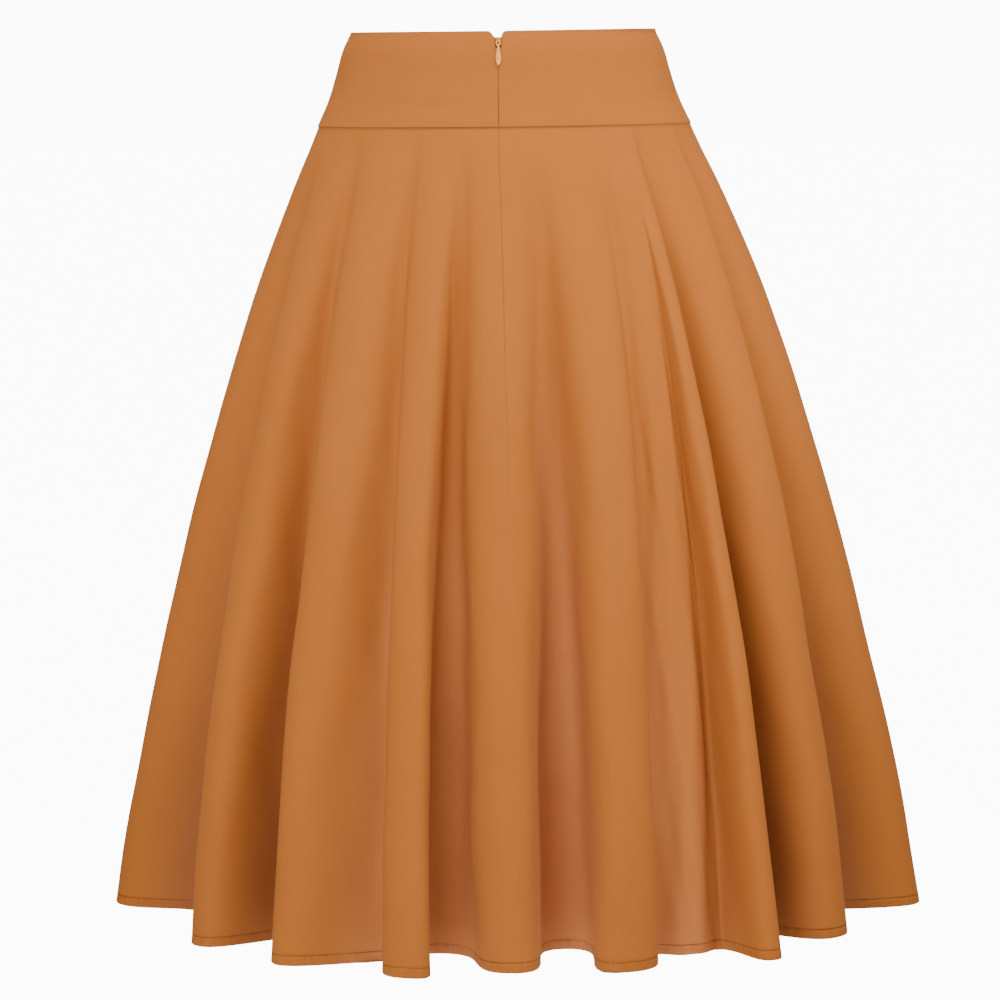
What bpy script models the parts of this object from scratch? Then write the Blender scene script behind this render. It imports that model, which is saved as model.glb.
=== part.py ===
"""A high-waisted flared midi skirt, filled out as it hangs when worn.

The zip side is the wearer's back and faces -Y, the wearer's left is at -X, and +Z is up.
The origin is the centre of the waistband's top edge. Units are metres, angles are degrees.

A place round the skirt is given by u: a whole u is the crest of a fold, a half is the valley
after it, and the folds are numbered as in FOLDS. A height is given by its drop below the
origin. Angles run from the centre back towards +X.
"""
import math
from collections import namedtuple

import bmesh
import bpy
from mathutils import Matrix, Vector

# ---------------------------------------------------------------- driving dimensions
SEAM_GAP = 0.0003          # between two pieces that are sewn together

BAND_WALL = 0.0020         # two layers of cloth and the interfacing between them
BAND_SIDE_DEG = 93.0       # the band's side seams
BAND_COLUMNS_DEG = 6.0     # how far apart the band's points are
BACK_SEAM_DEG = -1.8       # the zip sits a little to the wearer's left of the middle

SKIRT_WALL = 0.0014        # one layer, with the body of a full woven cloth
HEM_TURN = 0.0090          # height of the turned-up hem
HEM_TURN_STEP = 0.0010     # height over which the turned-up edge ends
HEM_TURN_WALL = 0.0012     # what the turn-up adds to the wall
STEPS_PER_FOLD = 12        # mesh steps from a crest to the next
BACK_SEAM_STEPS = 0.33     # the centre back seam's place, in steps after the centre crest
SIDE_SEAM_STEPS = 2        # the side seams' places, in steps in front of the side crests

ZIP_TOP = 0.0040           # drop of the tape's upper end
ZIP_BOTTOM = 0.1740        # drop of its lower end
TAPE_WALL = 0.0008
TAPE_CLEARANCE = 0.0003    # between the tape and the cloth in front of it
BAND_TAPE_CLEARANCE = 0.0005
COIL_DEPTH = 0.0016        # the closed coil stands this far off the tape
SLIDER_WIDTH = 0.0039
SLIDER_HEIGHT = 0.0070
SLIDER_DEPTH = 0.0022
SLIDER_BEVEL = 0.0005
SLIDER_SETBACK = 0.0011    # from the pull's axis back to the slider's front face

PULL_AXIS_DROP = 0.0071    # where the pull hangs from the slider
PULL_AXIS_STANDOFF = 0.0013
PULL_LENGTH = 0.0195       # from that axis to the tip
PULL_THICKNESS = 0.0010
RING_OUTER = 0.0021
RING_HOLE = 0.0012
RING_SIDES = 20
EYE_RADIUS = 0.0010        # inside of the slider's loop, which holds the pull's ring
LOOP_THICKNESS = 0.0005
LOOP_WIDTH = 0.0009
LOOP_STEPS = 8
DROP_SIDES = 10            # round the pull's drop shape

CLOTH_COLOUR = (0.56, 0.24, 0.075, 1.0)
TAPE_COLOUR = (0.45, 0.19, 0.06, 1.0)
SLIDER_COLOUR = (0.62, 0.30, 0.13, 1.0)
PULL_COLOUR = (0.83, 0.52, 0.30, 1.0)

# Outline of the band: half its width and half its depth at each drop.
Section = namedtuple("Section", "drop half_width half_depth sway")
BAND = (
    Section(0.0000, 0.1222, 0.0950, 0.0000),
    Section(0.0135, 0.1285, 0.1000, 0.0000),
    Section(0.0335, 0.1342, 0.1045, 0.0000),
    Section(0.0535, 0.1408, 0.1095, 0.0002),
    Section(0.0740, 0.1502, 0.1160, 0.0005),
)
# Outline of the flared part over its crests; sway moves a section to +X.
SKIRT = (
    Section(0.0743, 0.1492, 0.1150, 0.0005),
    Section(0.0940, 0.1578, 0.1228, 0.0010),
    Section(0.1140, 0.1672, 0.1308, 0.0016),
    Section(0.1340, 0.1760, 0.1382, 0.0022),
    Section(0.1740, 0.1926, 0.1525, 0.0030),
    Section(0.2140, 0.2076, 0.1660, 0.0036),
    Section(0.2950, 0.2340, 0.1920, 0.0042),
    Section(0.3760, 0.2575, 0.2160, 0.0044),
    Section(0.4570, 0.2786, 0.2380, 0.0044),
    Section(0.5380, 0.2979, 0.2580, 0.0040),
    Section(0.6200, 0.3152, 0.2765, 0.0040),
    Section(0.7070, 0.3307, 0.2920, 0.0042),
)
# Folds in order round the skirt, from the wearer's left side over the back to the front.
# A crest and the valley after it have an angle at the seam and one at the hem, a depth inside
# the outline at the hem, and a breadth there: how far they run on, in degrees, before the wall
# turns to the next. The fold starts at a share of the way down.
Fold = namedtuple("Fold", "crest_top crest_hem crest_depth crest_breadth "
                          "valley_top valley_hem valley_depth valley_breadth start")
FOLDS = (
    Fold(-92, -98, 0.000, 12.0, -70, -77, 0.090, 17.0, 0.03),       # left side
    Fold(-59, -53.4, 0.021, 7.5, -49, -47.2, 0.100, 6.0, 0.00),
    Fold(-36, -34.6, 0.008, 4.5, -27, -20.5, 0.062, 4.0, 0.00),
    Fold(-19, -14.2, -0.003, 8.6, -12, -13.5, 0.088, 9.0, 0.02),
    Fold(-3.4, -0.5, 0.020, 8.2, 8, 9.5, 0.106, 10.0, 0.04),        # centre back
    Fold(20, 15.1, 0.015, 9.4, 27.5, 23.5, 0.066, 3.5, 0.04),
    Fold(32.5, 30, 0.050, 2.5, 35.5, 36, 0.062, 2.0, 0.08),
    Fold(38, 37.4, 0.003, 5.0, 43, 47.6, 0.118, 8.5, 0.00),
    Fold(60, 57, 0.028, 11.0, 64, 72, 0.090, 16.0, 0.00),
    Fold(86, 92, 0.000, 12.5, 106, 108, 0.080, 10.0, 0.05),         # right side
    Fold(118, 121, 0.010, 10.0, 131, 134, 0.086, 8.0, 0.06),
    Fold(145, 146, 0.016, 9.0, 156, 157, 0.074, 8.5, 0.08),
    Fold(168, 169, 0.004, 9.0, 180, 181, 0.094, 8.5, 0.04),         # centre front
    Fold(192, 192, 0.012, 9.0, 205, 203, 0.068, 7.0, 0.07),
    Fold(217, 216, 0.006, 9.5, 229, 230, 0.090, 9.0, 0.03),
    Fold(242, 240, 0.018, 8.0, 253, 250, 0.076, 7.0, 0.06),
)
CENTRE_BACK_FOLD = 4
RIGHT_SIDE_FOLD = 9
# At the seam the folds begin as narrow creases between broad crests: shares of the way between.
CREST_SHARE_TOP = 0.80
VALLEY_SHARE_TOP = 0.20
FOLD_GROWTH = 1.02         # power of the way down with which the folds deepen

# Gap between the two halves of the band at the slider: half of it at each drop.
NOTCH = (
    (0.0000, 0.0056),
    (0.0012, 0.0040),
    (0.0032, 0.0026),
    (0.0060, 0.0024),
    (0.0100, 0.0024),
    (0.0122, 0.0008),
    (0.0135, SEAM_GAP / 2),
)
BAND_DROPS = (0.0000, 0.0012, 0.0032, 0.0060, 0.0100, 0.0122, 0.0135,
              0.0235, 0.0335, 0.0435, 0.0535, 0.0640, 0.0740)
TAPE_BAND_DROPS = (ZIP_TOP, 0.0135, 0.0235, 0.0335, 0.0435, 0.0535, 0.0640, 0.0725)
TAPE_SKIRT_DROPS = (0.0745, 0.0940, 0.1140, 0.1340, ZIP_BOTTOM)
# Across the closed zip: the place from the seam, in degrees on the band and in mesh steps on
# the skirt, and whether the coil stands there.
Across = namedtuple("Across", "band_deg skirt_steps coil")
TAPE_ACROSS = (
    Across(-4.65, -1.50, False),
    Across(-2.40, -0.33, False),
    Across(-0.80, -0.17, False),
    Across(-0.60, -0.13, True),
    Across(0.60, 0.15, True),
    Across(0.80, 0.20, False),
    Across(2.05, 0.67, False),
    Across(4.75, 1.39, False),
)
# The pull's drop shape: distance from the axis, half width and half thickness.
PULL_SHAPE = (
    (0.0031, 0.0008, 0.00040),
    (0.0045, 0.0009, 0.00045),
    (0.0080, 0.0015, 0.00065),
    (0.0110, 0.0020, 0.00085),
    (0.0135, 0.0021, 0.00090),
    (0.0160, 0.0018, 0.00080),
    (0.0182, 0.0011, 0.00055),
    (PULL_LENGTH, 0.0003, 0.00020),
)

NORMAL_REACH = 0.001       # how far apart the points are that give an outline's direction
SHARP_ANGLE_DEG = 50.0     # a turn past this is shaded as an edge

# ---------------------------------------------------------------- surfaces
# A crest or a valley at one height; its breadth there is the share of the span plus the degrees.
End = namedtuple("End", "angle depth share breadth")


def between(rows, drop, column):
    """A column's value at a drop, on a smooth curve through the rows."""
    last = len(rows) - 1
    i = 0
    while i < last - 1 and drop > rows[i + 1].drop:
        i += 1

    def value(k):
        return getattr(rows[k], column)

    def slope(k):
        before, after = max(k - 1, 0), min(k + 1, last)
        return (value(after) - value(before)) / (rows[after].drop - rows[before].drop)

    step = rows[i + 1].drop - rows[i].drop
    s = (drop - rows[i].drop) / step
    return (value(i) * (1 + 2 * s) * (1 - s) ** 2 + slope(i) * step * s * (1 - s) ** 2
            + value(i + 1) * s * s * (3 - 2 * s) + slope(i + 1) * step * s * s * (s - 1))


def mix(a, b, share):
    return a + (b - a) * share


def fold_end(index, part, down):
    """A crest or a valley, a share of the way down; its breadth mixes with a share of the span."""
    turns, index = divmod(index, len(FOLDS))
    fold = FOLDS[index]
    if part == "crest":
        top, hem, depth, breadth = fold.crest_top, fold.crest_hem, fold.crest_depth, fold.crest_breadth
        share = CREST_SHARE_TOP
    else:
        top, hem, depth, breadth = fold.valley_top, fold.valley_hem, fold.valley_depth, fold.valley_breadth
        share = VALLEY_SHARE_TOP
    growth = max(0.0, (down - fold.start) / (1 - fold.start)) ** FOLD_GROWTH
    return End(mix(top, hem, down) + 360 * turns, depth * growth, share * (1 - down), breadth * down)


def skirt_outline(u, drop):
    """The skirt's outer face: a smooth curve from each crest to the valley beside it."""
    down = (drop - SKIRT[0].drop) / (SKIRT[-1].drop - SKIRT[0].drop)
    index = math.floor(u)
    s = 2 * (u - index)
    if s < 1:
        start, end = fold_end(index, "crest", down), fold_end(index, "valley", down)
    else:
        s -= 1
        start, end = fold_end(index, "valley", down), fold_end(index + 1, "crest", down)
    span = end.angle - start.angle
    leave, arrive, ends = 3 * s * (1 - s) ** 2, 3 * s * s * (1 - s), s ** 3
    angle = (start.angle + leave * (start.share * span + start.breadth)
             + arrive * (span - end.share * span - end.breadth) + ends * span)
    depth = mix(start.depth, end.depth, arrive + ends)
    return on_section(SKIRT, math.radians(angle), drop, depth)


def on_section(rows, angle, drop, depth):
    x = (between(rows, drop, "half_width") - depth) * math.sin(angle) + between(rows, drop, "sway")
    y = -(between(rows, drop, "half_depth") - depth) * math.cos(angle)
    return Vector((x, y, -drop))


def band_outline(angle_deg, drop):
    return on_section(BAND, math.radians(angle_deg), drop, 0.0)


def inside(outline, place, drop, rows, depth):
    """A point of an outline, moved in square to it by a depth."""
    reach = NORMAL_REACH
    above, below = max(drop - reach, rows[0].drop), min(drop + reach, rows[-1].drop)
    along = outline(place + reach, drop) - outline(place - reach, drop)
    down = outline(place, below) - outline(place, above)
    return outline(place, drop) + along.cross(down).normalized() * depth


# ---------------------------------------------------------------- solids
def material(name, colour, roughness, metallic=0.0):
    made = bpy.data.materials.new(name)
    made.use_nodes = True
    shader = made.node_tree.nodes["Principled BSDF"]
    shader.inputs["Base Color"].default_value = colour
    shader.inputs["Roughness"].default_value = roughness
    shader.inputs["Metallic"].default_value = metallic
    return made


def add_object(name, mesh, finish, smooth=True):
    if smooth:
        mesh.shade_smooth()
        mesh.set_sharp_from_angle(angle=math.radians(SHARP_ANGLE_DEG))
    mesh.materials.append(finish)
    made = bpy.data.objects.new(name, mesh)
    bpy.context.collection.objects.link(made)
    return made


def wall(name, outer, inner, finish):
    """A closed wall between two grids of points, rows from the top down, columns towards +u."""
    rows, columns = len(outer), len(outer[0])
    points = [p for row in outer for p in row] + [p for row in inner for p in row]
    back = rows * columns

    def at(row, column, side=0):
        return side * back + row * columns + column

    faces = []
    for r in range(rows - 1):
        for c in range(columns - 1):
            faces.append((at(r, c), at(r + 1, c), at(r + 1, c + 1), at(r, c + 1)))
            faces.append((at(r, c, 1), at(r, c + 1, 1), at(r + 1, c + 1, 1), at(r + 1, c, 1)))
        faces.append((at(r, 0), at(r, 0, 1), at(r + 1, 0, 1), at(r + 1, 0)))
        faces.append((at(r, columns - 1), at(r + 1, columns - 1),
                      at(r + 1, columns - 1, 1), at(r, columns - 1, 1)))
    for c in range(columns - 1):
        faces.append((at(0, c), at(0, c + 1), at(0, c + 1, 1), at(0, c, 1)))
        faces.append((at(rows - 1, c), at(rows - 1, c, 1), at(rows - 1, c + 1, 1), at(rows - 1, c + 1)))
    mesh = bpy.data.meshes.new(name)
    mesh.from_pydata(points, [], faces)
    return add_object(name, mesh, finish)


def parted(row, start, end):
    """A row of points whose two ends are drawn back from the seams by half the gap."""
    row = list(row)
    row[0] = row[0] + (row[1] - row[0]).normalized() * start
    row[-1] = row[-1] + (row[-2] - row[-1]).normalized() * end
    return row


def places_between(first_step, last_step):
    """The places of the skirt's columns from one seam to the next, each whole step and both ends."""
    whole = range(math.floor(first_step) + 1, math.ceil(last_step))
    return [step / STEPS_PER_FOLD for step in (first_step, *whole, last_step)]


def skirt_panel(name, first_step, last_step, finish):
    """A panel of the flared part, between two places counted in mesh steps."""
    places = places_between(first_step, last_step)
    hem = SKIRT[-1].drop
    turn_top = hem - HEM_TURN
    levels = [(row.drop, SKIRT_WALL) for row in SKIRT[:-1]]
    levels += [(turn_top - HEM_TURN_STEP, SKIRT_WALL)]
    levels += [(drop, SKIRT_WALL + HEM_TURN_WALL) for drop in (turn_top, hem)]
    outer, inner = [], []
    for drop, depth in levels:
        face = [skirt_outline(u, drop) for u in places]
        lining = [inside(skirt_outline, u, drop, SKIRT, depth) for u in places]
        outer.append(parted(face, SEAM_GAP / 2, SEAM_GAP / 2))
        inner.append(parted([Vector((p.x, p.y, -drop)) for p in lining], SEAM_GAP / 2, SEAM_GAP / 2))
    return wall(name, outer, inner, finish)


def notch_at(drop):
    for (above, gap_above), (below, gap_below) in zip(NOTCH, NOTCH[1:]):
        if drop <= below:
            return mix(gap_above, gap_below, (drop - above) / (below - above))
    return SEAM_GAP / 2


def band_piece(name, first_deg, last_deg, finish, notch=""):
    """A piece of the waistband; notch names the end that parts round the slider."""
    count = round((last_deg - first_deg) / BAND_COLUMNS_DEG)
    angles = [mix(first_deg, last_deg, i / count) for i in range(count + 1)]
    outer, inner = [], []
    for drop in BAND_DROPS:
        start = notch_at(drop) if notch == "start" else SEAM_GAP / 2
        end = notch_at(drop) if notch == "end" else SEAM_GAP / 2
        face = [band_outline(a, drop) for a in angles]
        lining = [inside(band_outline, a, drop, BAND, BAND_WALL) for a in angles]
        outer.append(parted(face, start, end))
        inner.append(parted([Vector((p.x, p.y, -drop)) for p in lining], start, end))
    return wall(name, outer, inner, finish)


def behind(outline, columns, place, drop, rows, depth):
    """A point behind the flat faces of a wall, whose points stand at the given columns."""
    far = next(i for i in range(1, len(columns)) if place <= columns[i] or i == len(columns) - 1)
    share = (place - columns[far - 1]) / (columns[far] - columns[far - 1])
    near_point = inside(outline, columns[far - 1], drop, rows, depth)
    return near_point.lerp(inside(outline, columns[far], drop, rows, depth), share)


def zip_tape(finish):
    """The closed zip's two tapes and coil, on the inside along the centre back seam."""
    band_columns = [BACK_SEAM_DEG + side * BAND_COLUMNS_DEG for side in (-1, 0, 1)]
    seam_step = CENTRE_BACK_FOLD * STEPS_PER_FOLD + BACK_SEAM_STEPS
    skirt_columns = places_between(seam_step - 2, seam_step)[:-1] + places_between(seam_step, seam_step + 2)
    outer, inner = [], []
    for drop in TAPE_BAND_DROPS + TAPE_SKIRT_DROPS:
        front, rear = [], []
        for across in TAPE_ACROSS:
            behind_cloth = TAPE_WALL + (COIL_DEPTH if across.coil else 0.0)
            if drop < SKIRT[0].drop:
                place = (band_outline, band_columns, BACK_SEAM_DEG + across.band_deg, drop, BAND)
                depth = BAND_WALL + BAND_TAPE_CLEARANCE
            else:
                place = (skirt_outline, skirt_columns, (seam_step + across.skirt_steps) / STEPS_PER_FOLD,
                         drop, SKIRT)
                depth = SKIRT_WALL + TAPE_CLEARANCE
            front.append(behind(*place, depth))
            rear.append(behind(*place, depth + behind_cloth))
        outer.append(front)
        inner.append(rear)
    return wall("zip_tape", outer, inner, finish)


# ---------------------------------------------------------------- slider and pull
def pull_axis():
    """Where the pull hangs, and how far from upright it lies on the band."""
    tip_drop = PULL_AXIS_DROP + PULL_LENGTH
    high, low = band_outline(BACK_SEAM_DEG, PULL_AXIS_DROP), band_outline(BACK_SEAM_DEG, tip_drop)
    lean = math.atan2(high.y - low.y, tip_drop - PULL_AXIS_DROP)
    return Vector((high.x, high.y - PULL_AXIS_STANDOFF, high.z)), lean


def loft(name, rings):
    """A closed mesh through rings of points, capped at both ends."""
    size = len(rings[0])
    points = [p for ring in rings for p in ring]
    faces = [tuple(range(size)), tuple(reversed(range(len(points) - size, len(points))))]
    for k in range(len(rings) - 1):
        for i in range(size):
            j = (i + 1) % size
            faces.append((k * size + j, k * size + i, (k + 1) * size + i, (k + 1) * size + j))
    mesh = bpy.data.meshes.new(name)
    mesh.from_pydata(points, [], faces)
    shape = bmesh.new()
    shape.from_mesh(mesh)
    bmesh.ops.recalc_face_normals(shape, faces=shape.faces)
    shape.to_mesh(mesh)
    shape.free()
    return mesh


def joined_by(target, other_mesh):
    """Fuse another mesh into an object, through a guide object that isn't built."""
    guide = bpy.data.objects.new(target.name + "_guide", other_mesh)
    bpy.context.collection.objects.link(guide)
    guide.parent = target
    guide.hide_render = True
    guide.display_type = "WIRE"
    union = target.modifiers.new("union", "BOOLEAN")
    union.operation = "UNION"
    union.object = guide


def slider_loop():
    """The loop on the slider's front, round the axis at the local origin."""
    stations = [(SLIDER_SETBACK + SLIDER_BEVEL, 90.0)]
    stations += [(0.0, 90.0 + 180.0 * i / LOOP_STEPS) for i in range(LOOP_STEPS + 1)]
    stations += [(SLIDER_SETBACK + SLIDER_BEVEL, 270.0)]
    rings = []
    for back, turn in stations:
        toward = Vector((0, math.cos(math.radians(turn)), math.sin(math.radians(turn))))
        near, far = toward * EYE_RADIUS, toward * (EYE_RADIUS + LOOP_THICKNESS)
        shift, half = Vector((0, back, 0)), Vector((LOOP_WIDTH / 2, 0, 0))
        rings.append([near + shift - half, near + shift + half, far + shift + half, far + shift - half])
    return loft("slider_loop", rings)


def zip_slider(finish):
    axis, lean = pull_axis()
    shape = bmesh.new()
    size = Matrix.Diagonal((SLIDER_WIDTH, SLIDER_DEPTH, SLIDER_HEIGHT, 1.0))
    place = Matrix.Translation((0, SLIDER_SETBACK + SLIDER_DEPTH / 2, 0))
    bmesh.ops.create_cube(shape, size=1.0, matrix=place @ size)
    bmesh.ops.bevel(shape, geom=shape.edges[:], offset=SLIDER_BEVEL, segments=2, affect="EDGES")
    mesh = bpy.data.meshes.new("zip_slider")
    shape.to_mesh(mesh)
    shape.free()
    made = add_object("zip_slider", mesh, finish)
    made.location = axis
    made.rotation_euler.x = -lean
    joined_by(made, slider_loop())
    return made


def zip_pull(finish):
    """A ring through the slider's loop, and a drop shape below it; its origin is on the axis."""
    axis, lean = pull_axis()
    bar = (RING_OUTER + RING_HOLE) / 2
    rings = []
    for i in range(RING_SIDES):
        turn = 2 * math.pi * i / RING_SIDES
        toward = Vector((math.sin(turn), 0, math.cos(turn)))
        half = Vector((0, PULL_THICKNESS / 2, 0))
        near, far = toward * RING_HOLE, toward * RING_OUTER
        centre = Vector((0, 0, -bar))
        rings.append([centre + near - half, centre + near + half, centre + far + half, centre + far - half])
    points = [p for ring in rings for p in ring]
    faces = []
    for k in range(RING_SIDES):
        n = (k + 1) % RING_SIDES
        faces += [(4 * k + i, 4 * k + (i + 1) % 4, 4 * n + (i + 1) % 4, 4 * n + i) for i in range(4)]
    mesh = bpy.data.meshes.new("zip_pull")
    mesh.from_pydata(points, [], faces)
    shape = bmesh.new()
    shape.from_mesh(mesh)
    bmesh.ops.recalc_face_normals(shape, faces=shape.faces)
    shape.to_mesh(mesh)
    shape.free()
    made = add_object("zip_pull", mesh, finish)
    made.location = axis
    made.rotation_euler.x = -lean
    turns = [2 * math.pi * i / DROP_SIDES for i in range(DROP_SIDES)]
    body = [[Vector((wide * math.cos(t), thick * math.sin(t), -along)) for t in turns]
            for along, wide, thick in PULL_SHAPE]
    joined_by(made, loft("pull_drop", body))
    return made


# ---------------------------------------------------------------- the skirt
def build():
    for old in list(bpy.data.objects):
        bpy.data.objects.remove(old, do_unlink=True)
    cloth = material("skirt cloth", CLOTH_COLOUR, 0.75)
    band_cloth = material("waistband cloth", CLOTH_COLOUR, 0.72)
    tape = material("zip tape", TAPE_COLOUR, 0.80)
    enamel = material("slider enamel", SLIDER_COLOUR, 0.35, 0.4)
    pull = material("pull enamel", PULL_COLOUR, 0.25, 0.6)

    left_seam = -SIDE_SEAM_STEPS
    back_seam = CENTRE_BACK_FOLD * STEPS_PER_FOLD + BACK_SEAM_STEPS
    right_seam = RIGHT_SIDE_FOLD * STEPS_PER_FOLD + SIDE_SEAM_STEPS
    skirt_panel("skirt_back_left", left_seam, back_seam, cloth)
    skirt_panel("skirt_back_right", back_seam, right_seam, cloth)
    skirt_panel("skirt_front", right_seam, len(FOLDS) * STEPS_PER_FOLD + left_seam, cloth)

    band_piece("waistband_back_left", -BAND_SIDE_DEG, BACK_SEAM_DEG, band_cloth, notch="end")
    band_piece("waistband_back_right", BACK_SEAM_DEG, BAND_SIDE_DEG, band_cloth, notch="start")
    band_piece("waistband_front", BAND_SIDE_DEG, 360 - BAND_SIDE_DEG, band_cloth)

    zip_tape(tape)
    zip_slider(enamel)
    zip_pull(pull)


build()
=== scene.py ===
"""The looks of a high-waisted flared midi skirt, laid out as an add-on.

The zip side faces -Y and +Z is up. Units are metres. A place round the skirt is given by u:
a whole u is the crest of a fold and a half is the valley after it, in the order of FOLDS.
A place round the band is given in degrees from -Y towards +X. Heights are given as drops below
the waist's level.
"""
import math
from collections import namedtuple

import bmesh
import bpy
import numpy as np
from bpy.props import FloatProperty, FloatVectorProperty, IntProperty, PointerProperty
from mathutils import Matrix, Vector


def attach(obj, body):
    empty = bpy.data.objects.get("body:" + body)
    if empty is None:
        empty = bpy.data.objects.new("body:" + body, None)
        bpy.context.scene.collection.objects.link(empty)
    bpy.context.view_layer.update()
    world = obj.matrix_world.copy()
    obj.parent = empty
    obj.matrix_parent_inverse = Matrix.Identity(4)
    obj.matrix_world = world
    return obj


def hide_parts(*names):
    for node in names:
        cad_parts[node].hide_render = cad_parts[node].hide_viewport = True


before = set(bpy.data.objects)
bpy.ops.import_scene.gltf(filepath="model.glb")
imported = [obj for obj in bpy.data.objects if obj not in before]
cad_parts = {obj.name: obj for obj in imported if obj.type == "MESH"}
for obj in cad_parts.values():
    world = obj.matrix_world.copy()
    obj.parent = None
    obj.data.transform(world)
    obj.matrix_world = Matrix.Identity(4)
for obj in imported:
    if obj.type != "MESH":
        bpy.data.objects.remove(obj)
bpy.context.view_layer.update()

bl_info = {
    "name": "Flared Midi Skirt",
    "version": (1, 0, 0),
    "blender": (4, 5, 0),
    "location": "3D View > Sidebar > Skirt",
    "description": "Makes a high-waisted flared skirt with its waistband, zip, hem and studio",
    "category": "Add Mesh",
}

# ---------------------------------------------------------------- the garment's outline
Section = namedtuple("Section", "drop half_width half_depth sway")
BAND = (
    Section(0.0000, 0.1222, 0.0950, 0.0000),
    Section(0.0135, 0.1285, 0.1000, 0.0000),
    Section(0.0335, 0.1342, 0.1045, 0.0000),
    Section(0.0535, 0.1408, 0.1095, 0.0002),
    Section(0.0740, 0.1502, 0.1160, 0.0005),
)
SKIRT = (
    Section(0.0743, 0.1492, 0.1150, 0.0005),
    Section(0.0940, 0.1578, 0.1228, 0.0010),
    Section(0.1140, 0.1672, 0.1308, 0.0016),
    Section(0.1340, 0.1760, 0.1382, 0.0022),
    Section(0.1740, 0.1926, 0.1525, 0.0030),
    Section(0.2140, 0.2076, 0.1660, 0.0036),
    Section(0.2950, 0.2340, 0.1920, 0.0042),
    Section(0.3760, 0.2575, 0.2160, 0.0044),
    Section(0.4570, 0.2786, 0.2380, 0.0044),
    Section(0.5380, 0.2979, 0.2580, 0.0040),
    Section(0.6200, 0.3152, 0.2765, 0.0040),
    Section(0.7070, 0.3307, 0.2920, 0.0042),
)
# Crests and valleys at angles in degrees from -Y towards +X, with depths and breadths at the hem;
# a breadth is how roundly the cloth bends there, and start how far down the fold begins.
Fold = namedtuple("Fold", "crest_top crest_hem crest_depth crest_breadth "
                          "valley_top valley_hem valley_depth valley_breadth start")
FOLDS = (
    Fold(-92, -98, 0.000, 12.0, -70, -77, 0.090, 17.0, 0.03),       # left side
    Fold(-59, -53.4, 0.021, 7.5, -49, -47.2, 0.100, 6.0, 0.00),
    Fold(-36, -34.6, 0.008, 4.5, -27, -20.5, 0.062, 4.0, 0.00),
    Fold(-19, -14.2, -0.003, 8.6, -12, -13.5, 0.088, 9.0, 0.02),
    Fold(-3.4, -0.5, 0.020, 8.2, 8, 9.5, 0.106, 10.0, 0.04),        # centre back
    Fold(20, 15.1, 0.015, 9.4, 27.5, 23.5, 0.066, 3.5, 0.04),
    Fold(32.5, 30, 0.050, 2.5, 35.5, 36, 0.062, 2.0, 0.08),
    Fold(38, 37.4, 0.003, 5.0, 43, 47.6, 0.118, 8.5, 0.00),
    Fold(60, 57, 0.028, 11.0, 64, 72, 0.090, 16.0, 0.00),
    Fold(86, 92, 0.000, 12.5, 106, 108, 0.080, 10.0, 0.05),         # right side
    Fold(118, 121, 0.010, 10.0, 131, 134, 0.086, 8.0, 0.06),
    Fold(145, 146, 0.016, 9.0, 156, 157, 0.074, 8.5, 0.08),
    Fold(168, 169, 0.004, 9.0, 180, 181, 0.094, 8.5, 0.04),         # centre front
    Fold(192, 192, 0.012, 9.0, 205, 203, 0.068, 7.0, 0.07),
    Fold(217, 216, 0.006, 9.5, 229, 230, 0.090, 9.0, 0.03),
    Fold(242, 240, 0.018, 8.0, 253, 250, 0.076, 7.0, 0.06),
)
FOLD_COUNT = len(FOLDS)
CREST_SHARE_TOP, VALLEY_SHARE_TOP = 0.80, 0.20    # breadths at the waist seam, in half folds
FOLD_GROWTH = 1.02         # power of the way down with which the folds deepen
# The band's top stands above the waist's level: all round, more on the zip's right, and at the sides.
WAIST_RISE, WAIST_TILT, WAIST_CURVE = 0.0010, 0.0006, 0.0010
WAIST_RISE_FADE = 0.35     # the drop at which the rise has faded out
# The painted fill light in the deep folds and the painted shade in the side folds begin and are full at these
# depths, and at these sines of the angle.
SHADED_DEPTHS, FACING_SINES, SIDE_SINES = (0.012, 0.075), (0.40, 0.75), (0.57, 0.87)
TOP = SKIRT[0].drop
HEM = SKIRT[-1].drop
BAND_HEIGHT = BAND[-1].drop
REACH = 0.001              # how far apart the points are that give a surface's direction

# The seams, as places round the skirt and as degrees round the band.
LEFT_SEAM_U, BACK_SEAM_U, RIGHT_SEAM_U = -2 / 12, 4 + 0.33 / 12, 9 + 2 / 12
BAND_SIDE_DEG, BACK_SEAM_DEG = 93.0, -1.8
ZIP_END = 0.1740           # drop of the zip's lower end

# Half of the gap between the band's halves at each drop, on the zip's left and right.
Notch = namedtuple("Notch", "drop left right")
NOTCH = (
    Notch(0.0000, 0.00560, 0.00330),
    Notch(0.0012, 0.00470, 0.00260),
    Notch(0.0030, 0.00350, 0.00215),
    Notch(0.0050, 0.00265, 0.00215),
    Notch(0.0119, 0.00225, 0.00215),
    Notch(0.0141, 0.00080, 0.00080),
    Notch(0.0159, 0.00012, 0.00012),
    Notch(0.0740, 0.00012, 0.00012),
)

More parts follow.
